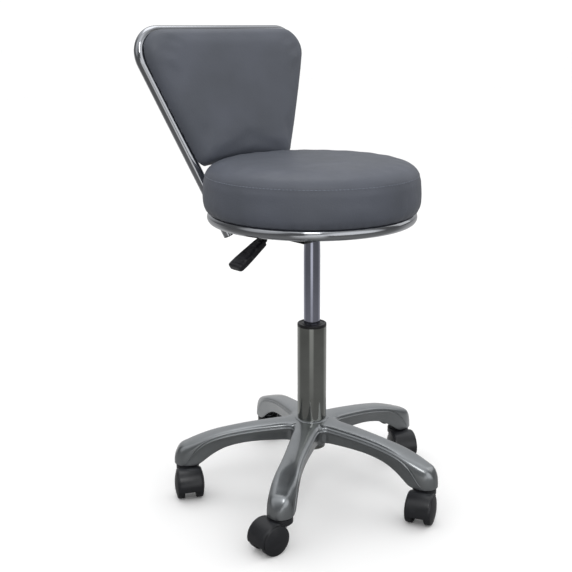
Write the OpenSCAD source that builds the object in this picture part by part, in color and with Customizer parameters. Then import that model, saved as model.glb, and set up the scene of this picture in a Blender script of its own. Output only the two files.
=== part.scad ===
// Examination stool: round seat and small backrest on a gas lift and a five-leg castor base.
// Z is up, the floor is z = 0, the column stands on x = y = 0 and the sitter faces -Y.

/* [Seat] */
// Diameter of the seat cushion at its widest
seat_d = 362; // [340:1:400]
// Height of the cushion's side, from its underside to the seam round the top
seat_side_h = 63.5; // [50:0.5:90]
// Distance of the seam round the top inside the cushion's widest
seat_seam_set = 4.5; // [1:0.5:16]
// Rise of the crown above the seam
seat_crown = 21; // [8:0.5:30]
// Radius of the cushion's lower edge
seat_edge_r = 14; // [8:0.5:18]
// Swell of the cushion's side beyond its rounded lower edge
seat_swell = 1; // [0.5:0.1:3]
// Distance of the plywood board's edge inside the foot of the cushion's rounded edge
seat_board_set = 1; // [0.5:0.1:10]
// Thickness of the plywood board in the seat
seat_board_t = 15; // [12:0.5:18]
// Thickness of the vinyl covers
vinyl_t = 1.2; // [0.8:0.1:2]
// Width of the cover's turned-in hem under the board
hem_w = 30; // [20:1:40]

/* [Seat frame] */
// Diameter of the steel tube in the seat ring and the back frame
tube_d = 19; // [16:0.5:22]
// Wall of that tube
tube_t = 1.5; // [1:0.1:2]
// Distance of the seat ring's centre line inside the cushion's widest
ring_set = 16.5; // [11:0.5:23.5]
// Width of the flat bars across the ring
bar_w = 25; // [20:1:30]
// Thickness of the flat bars
bar_t = 4; // [3:0.5:6]
// Distance between the centre lines of the two bars
bar_gap = 90; // [76:1:110]
// Length of the mounting plate, across the stool
plate_l = 164; // [150:1:180]
// Width of the mounting plate, front to back
plate_w = 120; // [116:1:140]
// Thickness of the plate and of the bracket under it
plate_t = 2.5; // [2:0.1:4]
// Corner radius of the mounting plate
plate_corner_r = 12; // [4:1:20]
// Distance between the plate's bolts, across the stool
bolt_gap_x = 132; // [110:1:140]
// Thread diameter of the plate's bolts and the back's screws
bolt_d = 6; // [5:0.5:8]
// Width of a bolt's hexagon across its flats
bolt_hex = 10; // [8:0.5:13]
// Height of a bolt's head
bolt_head_h = 4; // [3:0.1:6]
// Diameter of a tee nut's flange
nut_flange_d = 18; // [14:0.5:20]
// Thickness of a tee nut's flange
nut_flange_t = 1.5; // [1:0.1:2]
// Outer diameter of a tee nut's barrel
nut_barrel_d = 8; // [7:0.1:10]
// Length of a tee nut's barrel
nut_barrel_l = 7.5; // [5:0.5:9]

/* [Backrest] */
// Distance between the uprights' centre lines, level with the ring
back_base_w = 146.6; // [130:0.5:160]
// Length of the back, up its slope from the ring's centre plane to the top bar's centre line
back_h = 303.9; // [280:0.5:330]
// Lean of the back from upright
back_tilt = 14.2; // [8:0.2:18]
// Angle by which each upright spreads from the middle
back_flare = 20.8; // [15:0.2:24]
// Radius of the top bends along the tube's centre line
back_bend_r = 40; // [34:0.5:50]
// Distance between the ring's centre line and an upright's, level with the ring
upright_stand = 20; // [19.5:0.1:24]
// Length of an upright below the ring's centre plane
upright_tail = 52; // [30:1:70]
// Depth of the back cushion from its flat back to its crown
pad_t = 34; // [28:0.5:40]
// Thickness of the plywood board in the back
back_board_t = 9; // [8:0.5:12]
// Height of the back cushion's lower corners above the ring's centre plane
pad_low = 71; // [66:0.5:90]
// Rise of the arch in the back cushion's lower edge
pad_arch = 9.5; // [4:0.5:24]
// Radius of the back cushion's lower corners
pad_low_r = 15; // [10:0.5:24]
// Distance of the back cushion's edge inside the tube's centre line
pad_inset = 1; // [0:0.1:4]
// Outward bow of the back cushion's sides
pad_bow = 1.6; // [0:0.1:4]
// Place of the lower back screws, as a share of the back cushion's height
screw_low_share = 0.202; // [0.16:0.002:0.26]
// Place of the upper back screws, as a share of the back cushion's height
screw_high_share = 0.691; // [0.6:0.001:0.73]
// Width of the tabs that hold the back cushion
tab_w = 22; // [16:1:28]
// Thickness of the tabs
tab_t = 3; // [2:0.1:4]
// Reach of the tabs from the tube's centre line
tab_l = 30; // [26:1:36]
// Distance of the back screws from the tube's centre line
screw_in = 20; // [17:0.5:22]

/* [Gas lift] */
// Diameter of the stand tube
stand_tube_d = 50; // [48:0.5:54]
// Wall of the stand tube
stand_tube_t = 1.8; // [1.5:0.1:2.5]
// Length of the stand tube above the base
stand_tube_l = 166; // [150:1:220]
// Length of the stand tube below the base's hub
stand_tube_tail = 6; // [4:0.5:10]
// Amount by which the stand tube's diameter tapers down in the hub
stand_taper = 3.2; // [1:0.1:4]
// Diameter of the gas cylinder
cylinder_d = 28; // [27:0.5:30]
// Wall of the gas cylinder
cylinder_t = 1.5; // [1.2:0.1:2]
// Length of the gas cylinder
cylinder_l = 253; // [248:1:300]
// Length of the taper at the cylinder's top
taper_l = 54; // [45:1:60]
// Amount by which the cylinder's diameter tapers down at its top
cylinder_taper = 1.8; // [1:0.1:3]
// Diameter of the piston rod
rod_d = 10; // [8:0.5:12]
// Travel of the seat
lift_stroke = 120; // [80:1:120]
// Length of the guide bush in the stand tube
bush_l = 90; // [70:1:100]
// Height of the bush's collar above the stand tube
bush_collar_h = 5; // [3:0.5:8]
// Wall of the bush's sleeve
bush_t = 2.5; // [2:0.1:4]
// Number of ribs on the bush
bush_ribs = 6; // [4:1:8]
// Diameter of the thrust washers
washer_d = 26; // [24:0.5:30]
// Thickness of the thrust washers
washer_t = 2.5; // [1.5:0.1:3]
// Diameter of the thrust balls
ball_d = 4; // [3:0.1:5]
// Number of thrust balls
ball_count = 8; // [6:1:10]
// Height of the rubber bumper
bumper_h = 14; // [10:1:20]
// Diameter of the rubber bumper
bumper_d = 22; // [18:1:26]
// Diameter of the valve pin
valve_d = 8; // [6:0.1:10]
// Height by which the valve pin stands above the cylinder
valve_stick = 5; // [4:0.5:8]

/* [Mechanism and lever] */
// Length of cylinder that the taper socket grips
socket_grip = 30; // [24:1:36]
// Wall of the taper socket
socket_t = 5; // [4:0.5:6]
// Height of the bracket from its floor to the mounting plate
bracket_h = 48; // [44:1:60]
// Width of the bracket, front to back
bracket_w = 52; // [46:1:60]
// Length of the bracket, across the stool
bracket_l = 80; // [70:1:100]
// Bend radius of the bracket's lower corners
bracket_bend_r = 5; // [3:0.5:7]
// Diameter of the lever's rod
lever_d = 8; // [7:0.1:9]
// Distance from the column's axis to the lever's pivot
lever_arm = 24; // [20:1:30]
// Diameter of the lever's pivot pin
pivot_d = 4; // [3:0.1:5]
// Straight length of the lever outside its pivot
lever_out = 18; // [12:1:24]
// Length of the lever between its two bends
lever_mid = 58; // [40:1:70]
// First bend of the lever, downwards
lever_bend_1 = 22; // [10:0.5:26]
// Second bend of the lever, downwards
lever_bend_2 = 9.5; // [4:0.5:16]
// Radius of the lever's bends
lever_bend_r = 14; // [8:1:20]
// Length of the grip
grip_l = 74; // [60:1:90]
// Width of the grip where the rod enters it
grip_w_near = 20; // [12:0.5:24]
// Width of the grip near its tip
grip_w_far = 30; // [18:0.5:34]
// Thickness of the grip
grip_t = 13; // [10:0.5:16]
// Radius of the grip's edges
grip_edge_r = 4; // [2:0.1:5]

/* [Base] */
// Radius of the circle on which the castors turn
castor_circle_r = 218.8; // [200:0.2:240]
// Diameter of a leg's round tip
tip_d = 46.6; // [44:0.1:50]
// Height of the hub
hub_h = 48; // [44:1:56]
// Height of the hub's underside above the legs' tips
hub_rise = 29.7; // [20:0.1:34]
// Diameter of the hub at the top
hub_d = 60; // [57:0.5:64]
// Diameter of the hub at the bottom
hub_low_d = 54; // [52:0.5:56]
// Half width of a leg at its waist
leg_half_w = 17.3; // [15:0.1:20]
// Radius at which neighbouring legs part
crotch_r = 45; // [42:0.5:50]
// Drop of a leg's rounded shoulder below its crown
shoulder_h = 5.5; // [4:0.1:7]
// Depth of the groove under the shoulder
groove_depth = 0.9; // [0:0.1:2]
// Wall of the casting
cast_t = 4; // [3:0.1:5]
// Thickness of the ribs under the legs
rib_t = 3; // [2:0.1:5]
// Angle from +X to the first leg
leg_turn = -1.8; // [-36:0.2:36]

/* [Castors] */
// Diameter of a wheel
wheel_d = 50; // [48:0.5:52]
// Half the width over a castor's two wheels
wheel_reach = 25.5; // [24:0.5:28]
// Half the gap between the treads of the two wheels
wheel_gap_half = 10; // [6:0.1:12]
// Rise of a wheel's domed face
wheel_dome = 3.5; // [2:0.1:5]
// Radius of a wheel's outer edge
wheel_edge_r = 2.5; // [1:0.1:3]
// Wall of a wheel
wheel_t = 3; // [2:0.1:4]
// Diameter of a wheel's boss
wheel_boss_d = 16; // [14:0.5:18]
// Number of ribs in a wheel
wheel_ribs = 5; // [3:1:8]
// Distance from a castor's swivel axis to its axle
castor_trail = 24.4; // [22:0.1:27]
// Diameter of the axle
axle_d = 8; // [6:0.1:9]
// Height of a castor's housing above the floor
castor_h = 53.7; // [53:0.1:64]
// Diameter of the housing's neck
neck_d = 39.4; // [32:0.2:42]
// Depth of the neck
neck_h = 12; // [10:0.5:14]
// Wall of the hood over the wheels
hood_t = 2; // [1.5:0.1:3]
// Gap between the hood and the wheels
hood_gap = 0.8; // [0.5:0.1:1.5]
// Half the width of the hood
hood_reach = 21; // [20:0.5:23]
// Thickness of the web between the wheels
web_t = 10; // [8:0.5:10]
// Angle below level to which the hood reaches behind the wheels
hood_low = 12; // [5:1:45]
// Diameter of the castor stem
stem_d = 11; // [10:0.1:12]
// Length of the stem above the housing
stem_l = 23; // [20:1:24]
// Diameter of the stem's collar
stem_collar_d = 18; // [15:0.5:22]
// Thickness of the stem's collar
stem_collar_t = 1.5; // [1:0.1:2]
// Wall of the socket bush that holds a stem
stem_socket_t = 2; // [1.5:0.1:2.5]
// Direction in which each castor trails, from +X
castor_turns = [-118, 20, -120, 178, -153];

/* [Hidden] */
LEGS = 5;
$fn = 64;

// Clearances and overruns
run_fit = 0.05;
face_gap = 0.1;
soft_gap = 0.3;
drill_gap = 0.3;
cut_over = 1;
bend_slim = 0.02;
bend_lap = 0.4;

// Levels of the base, from the floor
wheel_r = wheel_d / 2;
foot_z = castor_h + stem_collar_t + face_gap;
hub_z = foot_z + hub_rise;
hub_top_z = hub_z + hub_h;
tube_top_z = hub_top_z + stand_tube_l;
tube_low_z = hub_z - stand_tube_tail;
stand_tube_r = stand_tube_d / 2;
stand_tube_in_r = stand_tube_r - stand_tube_t;

// Levels of the gas lift
rod_r = rod_d / 2;
cylinder_r = cylinder_d / 2;
cylinder_in_r = cylinder_r - cylinder_t;
floor_t = 3;
lower_washer_z = tube_low_z + floor_t;
ball_z = lower_washer_z + washer_t;
upper_washer_z = ball_z + ball_d;
bumper_z = upper_washer_z + washer_t;
bumper_top_z = bumper_z + bumper_h;
bumper_play = 2;
cylinder_z = bumper_top_z + bumper_play + lift_stroke;
cylinder_top_z = cylinder_z + cylinder_l;
taper_z = cylinder_top_z - taper_l;
seal_lip_h = 1;
seal_h = 17;
seal_z = cylinder_z + seal_lip_h;
piston_h = 16;
piston_z = seal_z + seal_h + 2 * face_gap;
rod_step = 1;
piston_bore_r = rod_r - rod_step;
rod_end_h = 2;
valve_r = valve_d / 2;
valve_block_h = 19;
valve_flange_w = 2;
valve_flange_r = valve_r + valve_flange_w;
valve_flange_h = 5;
clip_t = 1.3;
clip_r = 9;
clip_neck_r = rod_r - rod_step;
clip_drop = 1.1;
rod_tail = 3;
clip_z = tube_low_z - clip_drop - clip_t;
rod_low_z = clip_z - rod_tail;

// Levels of the mechanism and seat
socket_z = cylinder_top_z - socket_grip;
bracket_z = socket_z;
plate_z = bracket_z + bracket_h;
seat_z = plate_z + plate_t;
bar_z = plate_z - bar_t;
tube_r = tube_d / 2;
ring_r = seat_d / 2 - ring_set;
ring_d = 2 * ring_r;
ring_z = seat_z - tube_r;
board_z = seat_z + vinyl_t;
board_top_z = board_z + seat_board_t;
seam_z = seat_z + seat_side_h;
lever_r = lever_d / 2;
lever_z = cylinder_top_z + valve_stick + soft_gap + lever_r;
lever_nose = 9;

// Layout of the back
upright_r = ring_r + upright_stand;
back_y = sqrt(pow(upright_r, 2) - pow(back_base_w / 2, 2));
back_turn = 90 + back_flare;
back_corner_x = back_base_w / 2 + back_h * tan(back_flare);
bend_x = back_corner_x - back_bend_r * tan(back_turn / 2);
bend_v = back_h - back_bend_r;
upright_l = (bend_v - back_bend_r * sin(back_flare) + upright_tail) / cos(back_flare);

SEAT_NODES = ["gas_cylinder", "cylinder_seal", "taper_socket", "lift_bracket", "seat_plate",
    "plate_bolts", "tee_nuts", "lever_pivot", "seat_ring", "cross_bars", "back_frame",
    "tube_plugs", "seat_board", "seat_foam", "seat_cover", "dust_cover", "back_board",
    "back_foam", "back_cover", "back_screws"];
LIFT_NODES = ["piston_rod", "piston", "rod_clip", "upper_washer", "rubber_bumper"];
BASE_NODES = ["star_base", "stem_sockets", "stand_tube", "guide_bush", "lower_washer",
    "thrust_balls"];
LEVER_NODES = ["lever_rod", "lever_grip", "valve_pin"];
CASTOR_PARTS = ["hood", "stem", "axle", "wheel_left", "wheel_right"];

// Helpers

// Points on an arc, with both ends
function arc(centre, r, from, to, steps) =
    [for (i = [0:steps]) let (a = from + (to - from) * i / steps)
        [centre[0] + r * cos(a), centre[1] + r * sin(a)]];

// Value at x in a table of shares, joined by straight lines
function table_at(xs, ys, x, i = 0) =
    i >= len(xs) - 2 || x <= xs[i + 1]
        ? ys[i] + (ys[i + 1] - ys[i]) * (x - xs[i]) / (xs[i + 1] - xs[i])
        : table_at(xs, ys, x, i + 1);

function turned(p, a) = [p[0] * cos(a) - p[1] * sin(a), p[0] * sin(a) + p[1] * cos(a), p[2]];

function leg_angle(k) = leg_turn + 360 / LEGS * (k - 1);

// A rectangle with round corners, as one outline
module round_rect(w, h, r) {
    polygon(concat(
        arc([w / 2 - r, h / 2 - r], r, 0, 90, 6),
        arc([-w / 2 + r, h / 2 - r], r, 90, 180, 6),
        arc([-w / 2 + r, -h / 2 + r], r, 180, 270, 6),
        arc([w / 2 - r, -h / 2 + r], r, 270, 360, 6)));
}

// A ring or disc turned about Z
module turned_ring(outer_r, inner_r, h) {
    linear_extrude(h) difference() {
        circle(outer_r);
        if (inner_r > 0) circle(inner_r);
    }
}

// A round bar's section, hollow where it has a wall
module bar_section(r, wall) {
    difference() {
        circle(r);
        if (wall > 0) circle(r - wall);
    }
}

// Straight lengths of bar joined by bends that turn towards -X. A bend is drawn a little slimmer,
// as a bent tube is, and the straights lap into it.
module bent_bar(lengths, turns, bend_r, r, wall, i = 0) {
    lap_in = i > 0 ? bend_lap : 0;
    lap_out = i < len(turns) ? bend_lap : 0;
    translate([0, 0, -lap_in]) linear_extrude(lengths[i] + lap_in + lap_out) bar_section(r, wall);
    if (i < len(turns)) translate([-bend_r, 0, lengths[i]]) {
        rotate([90, 0, 0]) rotate_extrude(angle = turns[i]) translate([bend_r, 0])
            bar_section(r - bend_slim, wall - 2 * bend_slim);
        rotate([0, -turns[i], 0]) translate([bend_r, 0, 0])
            bent_bar(lengths, turns, bend_r, r, wall, i + 1);
    }
}

module at_legs() {
    for (k = [1:LEGS]) rotate([0, 0, leg_angle(k)]) translate([castor_circle_r, 0, 0]) children();
}

module at_castor(k) {
    rotate([0, 0, leg_angle(k)]) translate([castor_circle_r, 0, 0])
        rotate([0, 0, castor_turns[k - 1] - leg_angle(k)]) children();
}

// Base: one casting whose rows of points run from the hub out along each leg

tip_r = tip_d / 2 - groove_depth;
leg_top_h = hub_top_z - foot_z;
leg_depth = hub_z - foot_z;
mitre = 180 / LEGS;
// Places along a leg from the axis to the castor, and what the leg is there
leg_x_shares = [0.166, 0.175, 0.19, 0.215, 0.256, 0.32, 0.41, 0.512, 0.59, 0.672, 0.75, 0.832, 0.91,
    0.96, 1];
leg_w_shares = [1.528, 1.39, 1.27, 1.19, 1.16, 1.13, 1.075, 1.02, 1, 1.01, 1.06, 1.15, 1.24, 1.28,
    1.295];
leg_top_shares = [0.956, 0.953, 0.95, 0.946, 0.938, 0.922, 0.894, 0.858, 0.824, 0.781, 0.734, 0.6655,
    0.588, 0.536, 0.4855];
leg_under_shares = [1.434, 1.434, 1.434, 1.434, 1.434, 1.424, 1.396, 1.339, 1.236, 1.104, 0.868, 0.491,
    0, 0, 0];
leg_bulge_shares = [0.021, 0.02, 0.017, 0.009, 0];
nose_steps = [22, 40, 56, 70, 80, 86];
nose_end_share = 0.1;
solid_from_share = 0.92;
// How far the shoulder has swept down to the foot, at the last places before the nose
sweep_shares = [0.12, 0.45, 0.8];
body_rows = len(leg_x_shares);
row_count = 2 + body_rows + len(nose_steps);
crotch_row = 2;
last_row = row_count - 1;

// Across a leg: shares of the half width and of the shoulder's drop, from the crown outwards
crown_y_shares = [0, 0.45, 0.78, 0.93, 1];
crown_drop_shares = [0, 0.05, 0.25, 0.55, 1];
groove_drop_share = 1.3;
rim_drop_shares = [1.6, 2];
crown_sweep_shares = [0, 0, 0, 0.35, 1];
swept_drop_share = 2.4;
ceiling_drop_share = 1.1;
ceiling_y_share = 0.6;
wall_share = 0.2;
full_depth = 3.6 * shoulder_h;
pocket_lift = 1.2;
pocket_edge_share = 0.8;
HALF = 12;
WHOLE = 24;

function nose_angle(i) = nose_steps[i - 2 - body_rows];
function is_nose(i) = i >= 2 + body_rows;
function row_x(i) = is_nose(i)
    ? castor_circle_r + tip_r * sin(nose_angle(i))
    : (i == crotch_row ? crotch_r * cos(mitre) : castor_circle_r * leg_x_shares[i - 2]);
function row_w(i) = is_nose(i)
    ? tip_r * cos(nose_angle(i))
    : (i == crotch_row ? crotch_r * sin(mitre)
        : (i == 2 + body_rows - 1 ? tip_r : leg_half_w * leg_w_shares[i - 2]));
function row_top(i) = foot_z + leg_top_h * (is_nose(i)
    ? leg_top_shares[body_rows - 1] * (nose_end_share + (1 - nose_end_share) * cos(nose_angle(i)))
    : leg_top_shares[i - 2]);
function row_under(i) = foot_z + (is_nose(i) ? 0 : leg_depth * leg_under_shares[i - 2]);
function row_bulge(i) = i - 2 < len(leg_bulge_shares) ? castor_circle_r * leg_bulge_shares[i - 2] : 0;
function row_is_solid(i) = row_x(i) > castor_circle_r * solid_from_share;
function row_scale(i) = min(1, (row_top(i) - row_under(i)) / full_depth);
function row_sweep(i) = let (from = 2 + body_rows - len(sweep_shares))
    (is_nose(i) ? 1 : i < from ? 0 : sweep_shares[i - from])
        * max(0, row_top(i) - row_under(i) - swept_drop_share * shoulder_h * row_scale(i));

// Half section of a leg at a row: across, and up
function half_y(i, j) = let (w = row_w(i), s = row_scale(i), wall = min(cast_t, w * wall_share))
    j <= 4 ? w * crown_y_shares[j]
    : j == 5 ? w - groove_depth * s
    : j <= 8 ? w + groove_depth * s
    : j <= 10 ? w - wall
    : j == 11 ? (w - wall) * ceiling_y_share
    : 0;
function half_z(i, j) = let (top = row_top(i), low = row_under(i), drop = shoulder_h * row_scale(i),
        sweep = row_sweep(i))
    j <= 4 ? top - drop * crown_drop_shares[j] - sweep * crown_sweep_shares[j]
    : j == 5 ? top - drop * groove_drop_share - sweep
    : j <= 7 ? top - drop * rim_drop_shares[j - 6] - sweep
    : j <= 9 ? low
    : row_is_solid(i) ? low + pocket_lift * (j == 10 ? pocket_edge_share : 1) * row_scale(i)
    : j == 10 ? top - drop * rim_drop_shares[1]
    : top - drop * ceiling_drop_share;

// The hub's two inner rings
ring_rows = [[0.59, 0.975, 0.84], [0.78, 0.965, 0.84]];
ceiling_turn_share = 0.55;
function ring_point(i, j) = let (
        r = crotch_r * ring_rows[i][0],
        a = mitre * (j <= 4 ? crown_y_shares[j] : j == 10 ? 1 : j == 11 ? ceiling_turn_share : 0))
    [r * cos(a), r * sin(a), foot_z + leg_top_h * (j <= 4 ? ring_rows[i][1] : ring_rows[i][2])];

function row_point(i, j) = i < crotch_row ? ring_point(i, j)
    : let (y = half_y(i, j), t = min(1, y / row_w(i)))
    i == crotch_row && j >= 4 && j <= 10
        ? [y / tan(mitre), y, half_z(i, j)]
        : [row_x(i) + row_bulge(i) * (1 - t * t), y, half_z(i, j)];

function leg_point(i, j) = j <= HALF ? row_point(i, j)
    : let (p = row_point(i, WHOLE - j)) [p[0], -p[1], p[2]];

star_points = [for (k = [1:LEGS]) for (i = [0:last_row]) for (j = [0:WHOLE - 1])
    turned(leg_point(i, j), leg_angle(k))];

// Number of a point, where legs share the points on the line between them
function star_id(k, i, j) = let (jj = j % WHOLE)
    i <= crotch_row && jj >= 4 && jj <= 10
        ? star_id((k + 1) % LEGS, i, WHOLE - jj)
        : (k * row_count + i) * WHOLE + jj;

function quad(k, i, j) = [
    [star_id(k, i, j), star_id(k, i, j + 1), star_id(k, i + 1, j + 1)],
    [star_id(k, i, j), star_id(k, i + 1, j + 1), star_id(k, i + 1, j)]];

top_steps = [20, 21, 22, 23, 0, 1, 2, 3];
ceiling_steps = [10, 11, 12, 13];
hub_wall_steps = [[0, 1, 12], [1, 11, 12], [1, 2, 11], [2, 3, 11], [3, 10, 11], [3, 4, 10]];
star_faces = [for (k = [0:LEGS - 1]) each concat(
    [for (i = [0:crotch_row - 1]) for (j = concat(top_steps, ceiling_steps)) each quad(k, i, j)],
    [for (i = [crotch_row:last_row - 1]) for (j = [0:WHOLE - 1]) each quad(k, i, j)],
    [for (f = hub_wall_steps) each [
        [star_id(k, 0, f[2]), star_id(k, 0, f[1]), star_id(k, 0, f[0])],
        [star_id(k, 0, WHOLE - f[0]), star_id(k, 0, WHOLE - f[1]), star_id(k, 0, WHOLE - f[2])]]],
    [for (j = [0:HALF - 2]) each [
        [star_id(k, last_row, j), star_id(k, last_row, j + 1), star_id(k, last_row, HALF)],
        [star_id(k, last_row, WHOLE - j - 1), star_id(k, last_row, WHOLE - j), star_id(k, last_row, HALF)]]])];

hub_r = hub_d / 2;
hub_low_r = hub_low_d / 2;
hub_round_r = 3;
hub_lip_h = 2.5;
hub_lip_w = 1;
hub_arc_start = -75;
function stand_r(z) = stand_tube_r - stand_taper / 2 * max(0, hub_top_z - z) / (hub_top_z - tube_low_z);

module hub() {
    rotate_extrude() polygon(concat(
        [[stand_r(hub_top_z), hub_top_z], [stand_r(hub_z), hub_z]],
        arc([hub_low_r - hub_round_r, hub_z + hub_round_r], hub_round_r, hub_arc_start, 0, 5),
        [[hub_r, hub_z + hub_h / 2], [hub_r, hub_top_z - hub_lip_h],
            [stand_tube_r + hub_lip_w, hub_top_z]]));
}

// A rib under each leg, from the hub to the socket
rib_from_share = 0.13;
rib_to_share = 0.96;
rib_shares = [for (x = leg_x_shares) if (x > rib_from_share && x < rib_to_share) x];
rib_lift = 4;
module leg_rib() {
    tops = [for (x = concat([rib_from_share], rib_shares, [rib_to_share]))
        [x * castor_circle_r, foot_z + leg_top_h * table_at(leg_x_shares, leg_top_shares, x)
            - shoulder_h * ceiling_drop_share + cut_over]];
    lows = [for (x = concat([rib_from_share], rib_shares, [rib_to_share]))
        [x * castor_circle_r, foot_z + leg_depth * table_at(leg_x_shares, leg_under_shares, x)
            + rib_lift]];
    rotate([90, 0, 0]) linear_extrude(rib_t, center = true)
        polygon(concat(tops, [for (i = [len(lows) - 1:-1:0]) lows[i]]));
}

stem_r = stem_d / 2;
socket_bore_r = stem_r + run_fit;
stem_socket_r = socket_bore_r + stem_socket_t;
stem_socket_l = stem_l + cut_over;
nose_pocket_h = 9;
nose_pocket_in_r = stem_socket_r + cast_t;
nose_pocket_out_r = tip_r - cast_t;

module nose_pocket() {
    difference() {
        turned_ring(nose_pocket_out_r, nose_pocket_in_r, nose_pocket_h + cut_over);
        for (a = [0, 90]) rotate([0, 0, a])
            cube([tip_d, rib_t, tip_d], center = true);
    }
}

module star_base() {
    color("lightsteelblue") difference() {
        union() {
            polyhedron(star_points, star_faces, convexity = 10);
            hub();
            for (k = [1:LEGS]) rotate([0, 0, leg_angle(k)]) leg_rib();
        }
        at_legs() translate([0, 0, foot_z - cut_over]) {
            cylinder(r = stem_socket_r, h = stem_socket_l + cut_over);
            nose_pocket();
        }
    }
}

module stem_sockets() {
    color("dimgray") at_legs() translate([0, 0, foot_z])
        turned_ring(stem_socket_r, socket_bore_r, stem_socket_l);
}

// Castors: the swivel axis is local Z and the castor trails along local X

hood_in_r = wheel_r + hood_gap;
hood_r = hood_in_r + hood_t;
// Shares of the hood's half width and of its wall, along the rounding of its edge
hood_edge_shares = [[0.8, 0], [0.88, 0.12], [0.94, 0.35], [0.98, 0.6], [1, 0.8]];
neck_r = neck_d / 2;
neck_chamfer = 1.5;
neck_floor = 2;
neck_z = castor_h - neck_h;
axle_r = axle_d / 2;
chord_drop = 12;
chord_rise = 4;
hood_front_x = 8;
gusset_share = 0.6;

module at_axle() {
    translate([castor_trail, 0, wheel_r]) rotate([90, 0, 0]) children();
}

// The hood's outer form, turned about the axle
module hood_drum() {
    edge = [for (e = hood_edge_shares) [hood_r - hood_t * e[1], hood_reach * e[0]]];
    rotate_extrude() polygon(concat([[0, -hood_reach]],
        [for (i = [len(edge) - 1:-1:0]) [edge[i][0], -edge[i][1]]], edge, [[0, hood_reach]]));
}

// The web's front, from the neck's underside down to the level of the axle
module web_front() {
    rotate([90, 0, 0]) linear_extrude(web_t, center = true) polygon([
        [castor_trail - hood_r, wheel_r], [castor_trail, wheel_r],
        [castor_trail, neck_z + neck_floor / 2], [-neck_r * gusset_share, neck_z + neck_floor / 2]]);
}

module hood(k) {
    color("#38383b") at_castor(k) difference() {
        union() {
            at_axle() hood_drum();
            web_front();
            rotate_extrude() polygon([[0, castor_h], [neck_r - neck_chamfer, castor_h],
                [neck_r, castor_h - neck_chamfer], [neck_r, neck_z + neck_chamfer],
                [neck_r - neck_chamfer, neck_z], [0, neck_z]]);
        }
        // Room for the wheels on both sides of the web
        for (side = [-1, 1]) {
            at_axle() translate([0, 0, side > 0 ? web_t / 2 : -web_t / 2 - wheel_reach])
                cylinder(r = hood_in_r, h = wheel_reach);
            translate([-hood_r, side > 0 ? web_t / 2 : -web_t / 2 - wheel_reach, 0])
                cube([hood_r + hood_front_x, wheel_reach, neck_z]);
        }
        // Straight lower edge, higher at the front than the floor
        at_axle() linear_extrude(2 * wheel_reach, center = true) polygon([
            [hood_r * cos(hood_low), -hood_r * sin(hood_low)], [hood_r * 2, -hood_r * sin(hood_low)],
            [hood_r * 2, -hood_r * 2], [-hood_r * 2, -hood_r * 2], [-hood_r * 2, chord_rise - chord_drop],
            [-axle_d, -chord_drop]]);
        at_axle() cylinder(r = axle_r, h = 2 * web_t, center = true);
        translate([0, 0, neck_z + neck_floor]) cylinder(r = stem_r, h = castor_h);
    }
}

grip_ring_h = 6;
grip_ring_z = 12;
stem_groove = 0.8;
stem_point = 1.5;
stem_neck_r = stem_r - stem_groove;

module stem(k) {
    stem_low_z = neck_z + neck_floor;
    top_z = castor_h + stem_collar_t + stem_l;
    groove_z = castor_h + stem_collar_t + grip_ring_z;
    color("silver") at_castor(k) {
        rotate_extrude() polygon([[0, stem_low_z], [stem_r, stem_low_z], [stem_r, castor_h],
            [stem_collar_d / 2, castor_h], [stem_collar_d / 2, castor_h + stem_collar_t],
            [stem_r, castor_h + stem_collar_t], [stem_r, groove_z], [stem_neck_r, groove_z],
            [stem_neck_r, groove_z + grip_ring_h], [stem_r, groove_z + grip_ring_h],
            [stem_r, top_z - stem_point], [stem_r - stem_point, top_z], [0, top_z]]);
        // Split ring that grips the socket
        translate([0, 0, groove_z]) linear_extrude(grip_ring_h) difference() {
            circle(stem_r + run_fit / 2);
            circle(stem_neck_r);
            translate([0, -stem_neck_r / 4]) square([stem_d, stem_neck_r / 2]);
        }
    }
}

axle_reach = wheel_reach - wheel_dome;
module axle(k) {
    color("gray") at_castor(k) at_axle()
        cylinder(r = axle_r, h = 2 * axle_reach - 2 * face_gap, center = true);
}

wheel_in_y = web_t / 2 + soft_gap;
wheel_face_y = wheel_reach - wheel_dome;
wheel_disc_r = wheel_r - wheel_edge_r;
dome_r = (pow(wheel_disc_r, 2) + pow(wheel_dome, 2)) / (2 * wheel_dome);
dome_half = asin(wheel_disc_r / dome_r);
tread_round = 1;
wheel_rib_t = 1.6;
wheel_rib_set = 3;
wheel_rib_lap = 1;

// A cup-shaped wheel with a boss and ribs, whose axis is Z and whose domed face is up
module wheel_form() {
    boss_r = wheel_boss_d / 2;
    bore_r = axle_r + run_fit;
    disc_z = wheel_face_y - wheel_t;
    rotate_extrude() polygon(concat(
        [[bore_r, wheel_in_y], [boss_r, wheel_in_y], [boss_r, disc_z],
            [wheel_r - wheel_t, disc_z], [wheel_r - wheel_t, wheel_gap_half],
            [wheel_r - tread_round, wheel_gap_half], [wheel_r, wheel_gap_half + tread_round]],
        arc([wheel_disc_r, wheel_face_y - wheel_edge_r], wheel_edge_r, 0, 90, 4),
        [for (i = [1:5]) let (a = dome_half * (1 - i / 5))
            [dome_r * sin(a), wheel_reach - dome_r * (1 - cos(a))]],
        [[0, wheel_face_y], [bore_r, wheel_face_y]]));
    for (i = [0:wheel_ribs - 1]) rotate([0, 0, 360 / wheel_ribs * i])
        translate([boss_r - wheel_rib_lap, -wheel_rib_t / 2, wheel_gap_half + wheel_rib_set])
            cube([wheel_r - wheel_t - boss_r + 2 * wheel_rib_lap, wheel_rib_t,
                disc_z + wheel_rib_lap - wheel_gap_half - wheel_rib_set]);
}

module wheel_left(k) {
    color("#2c2c2e") at_castor(k) translate([castor_trail, 0, wheel_r]) rotate([-90, 0, 0]) wheel_form();
}

module wheel_right(k) {
    color("#2c2c2e") at_castor(k) translate([castor_trail, 0, wheel_r]) rotate([90, 0, 0]) wheel_form();
}

// Gas lift

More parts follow.
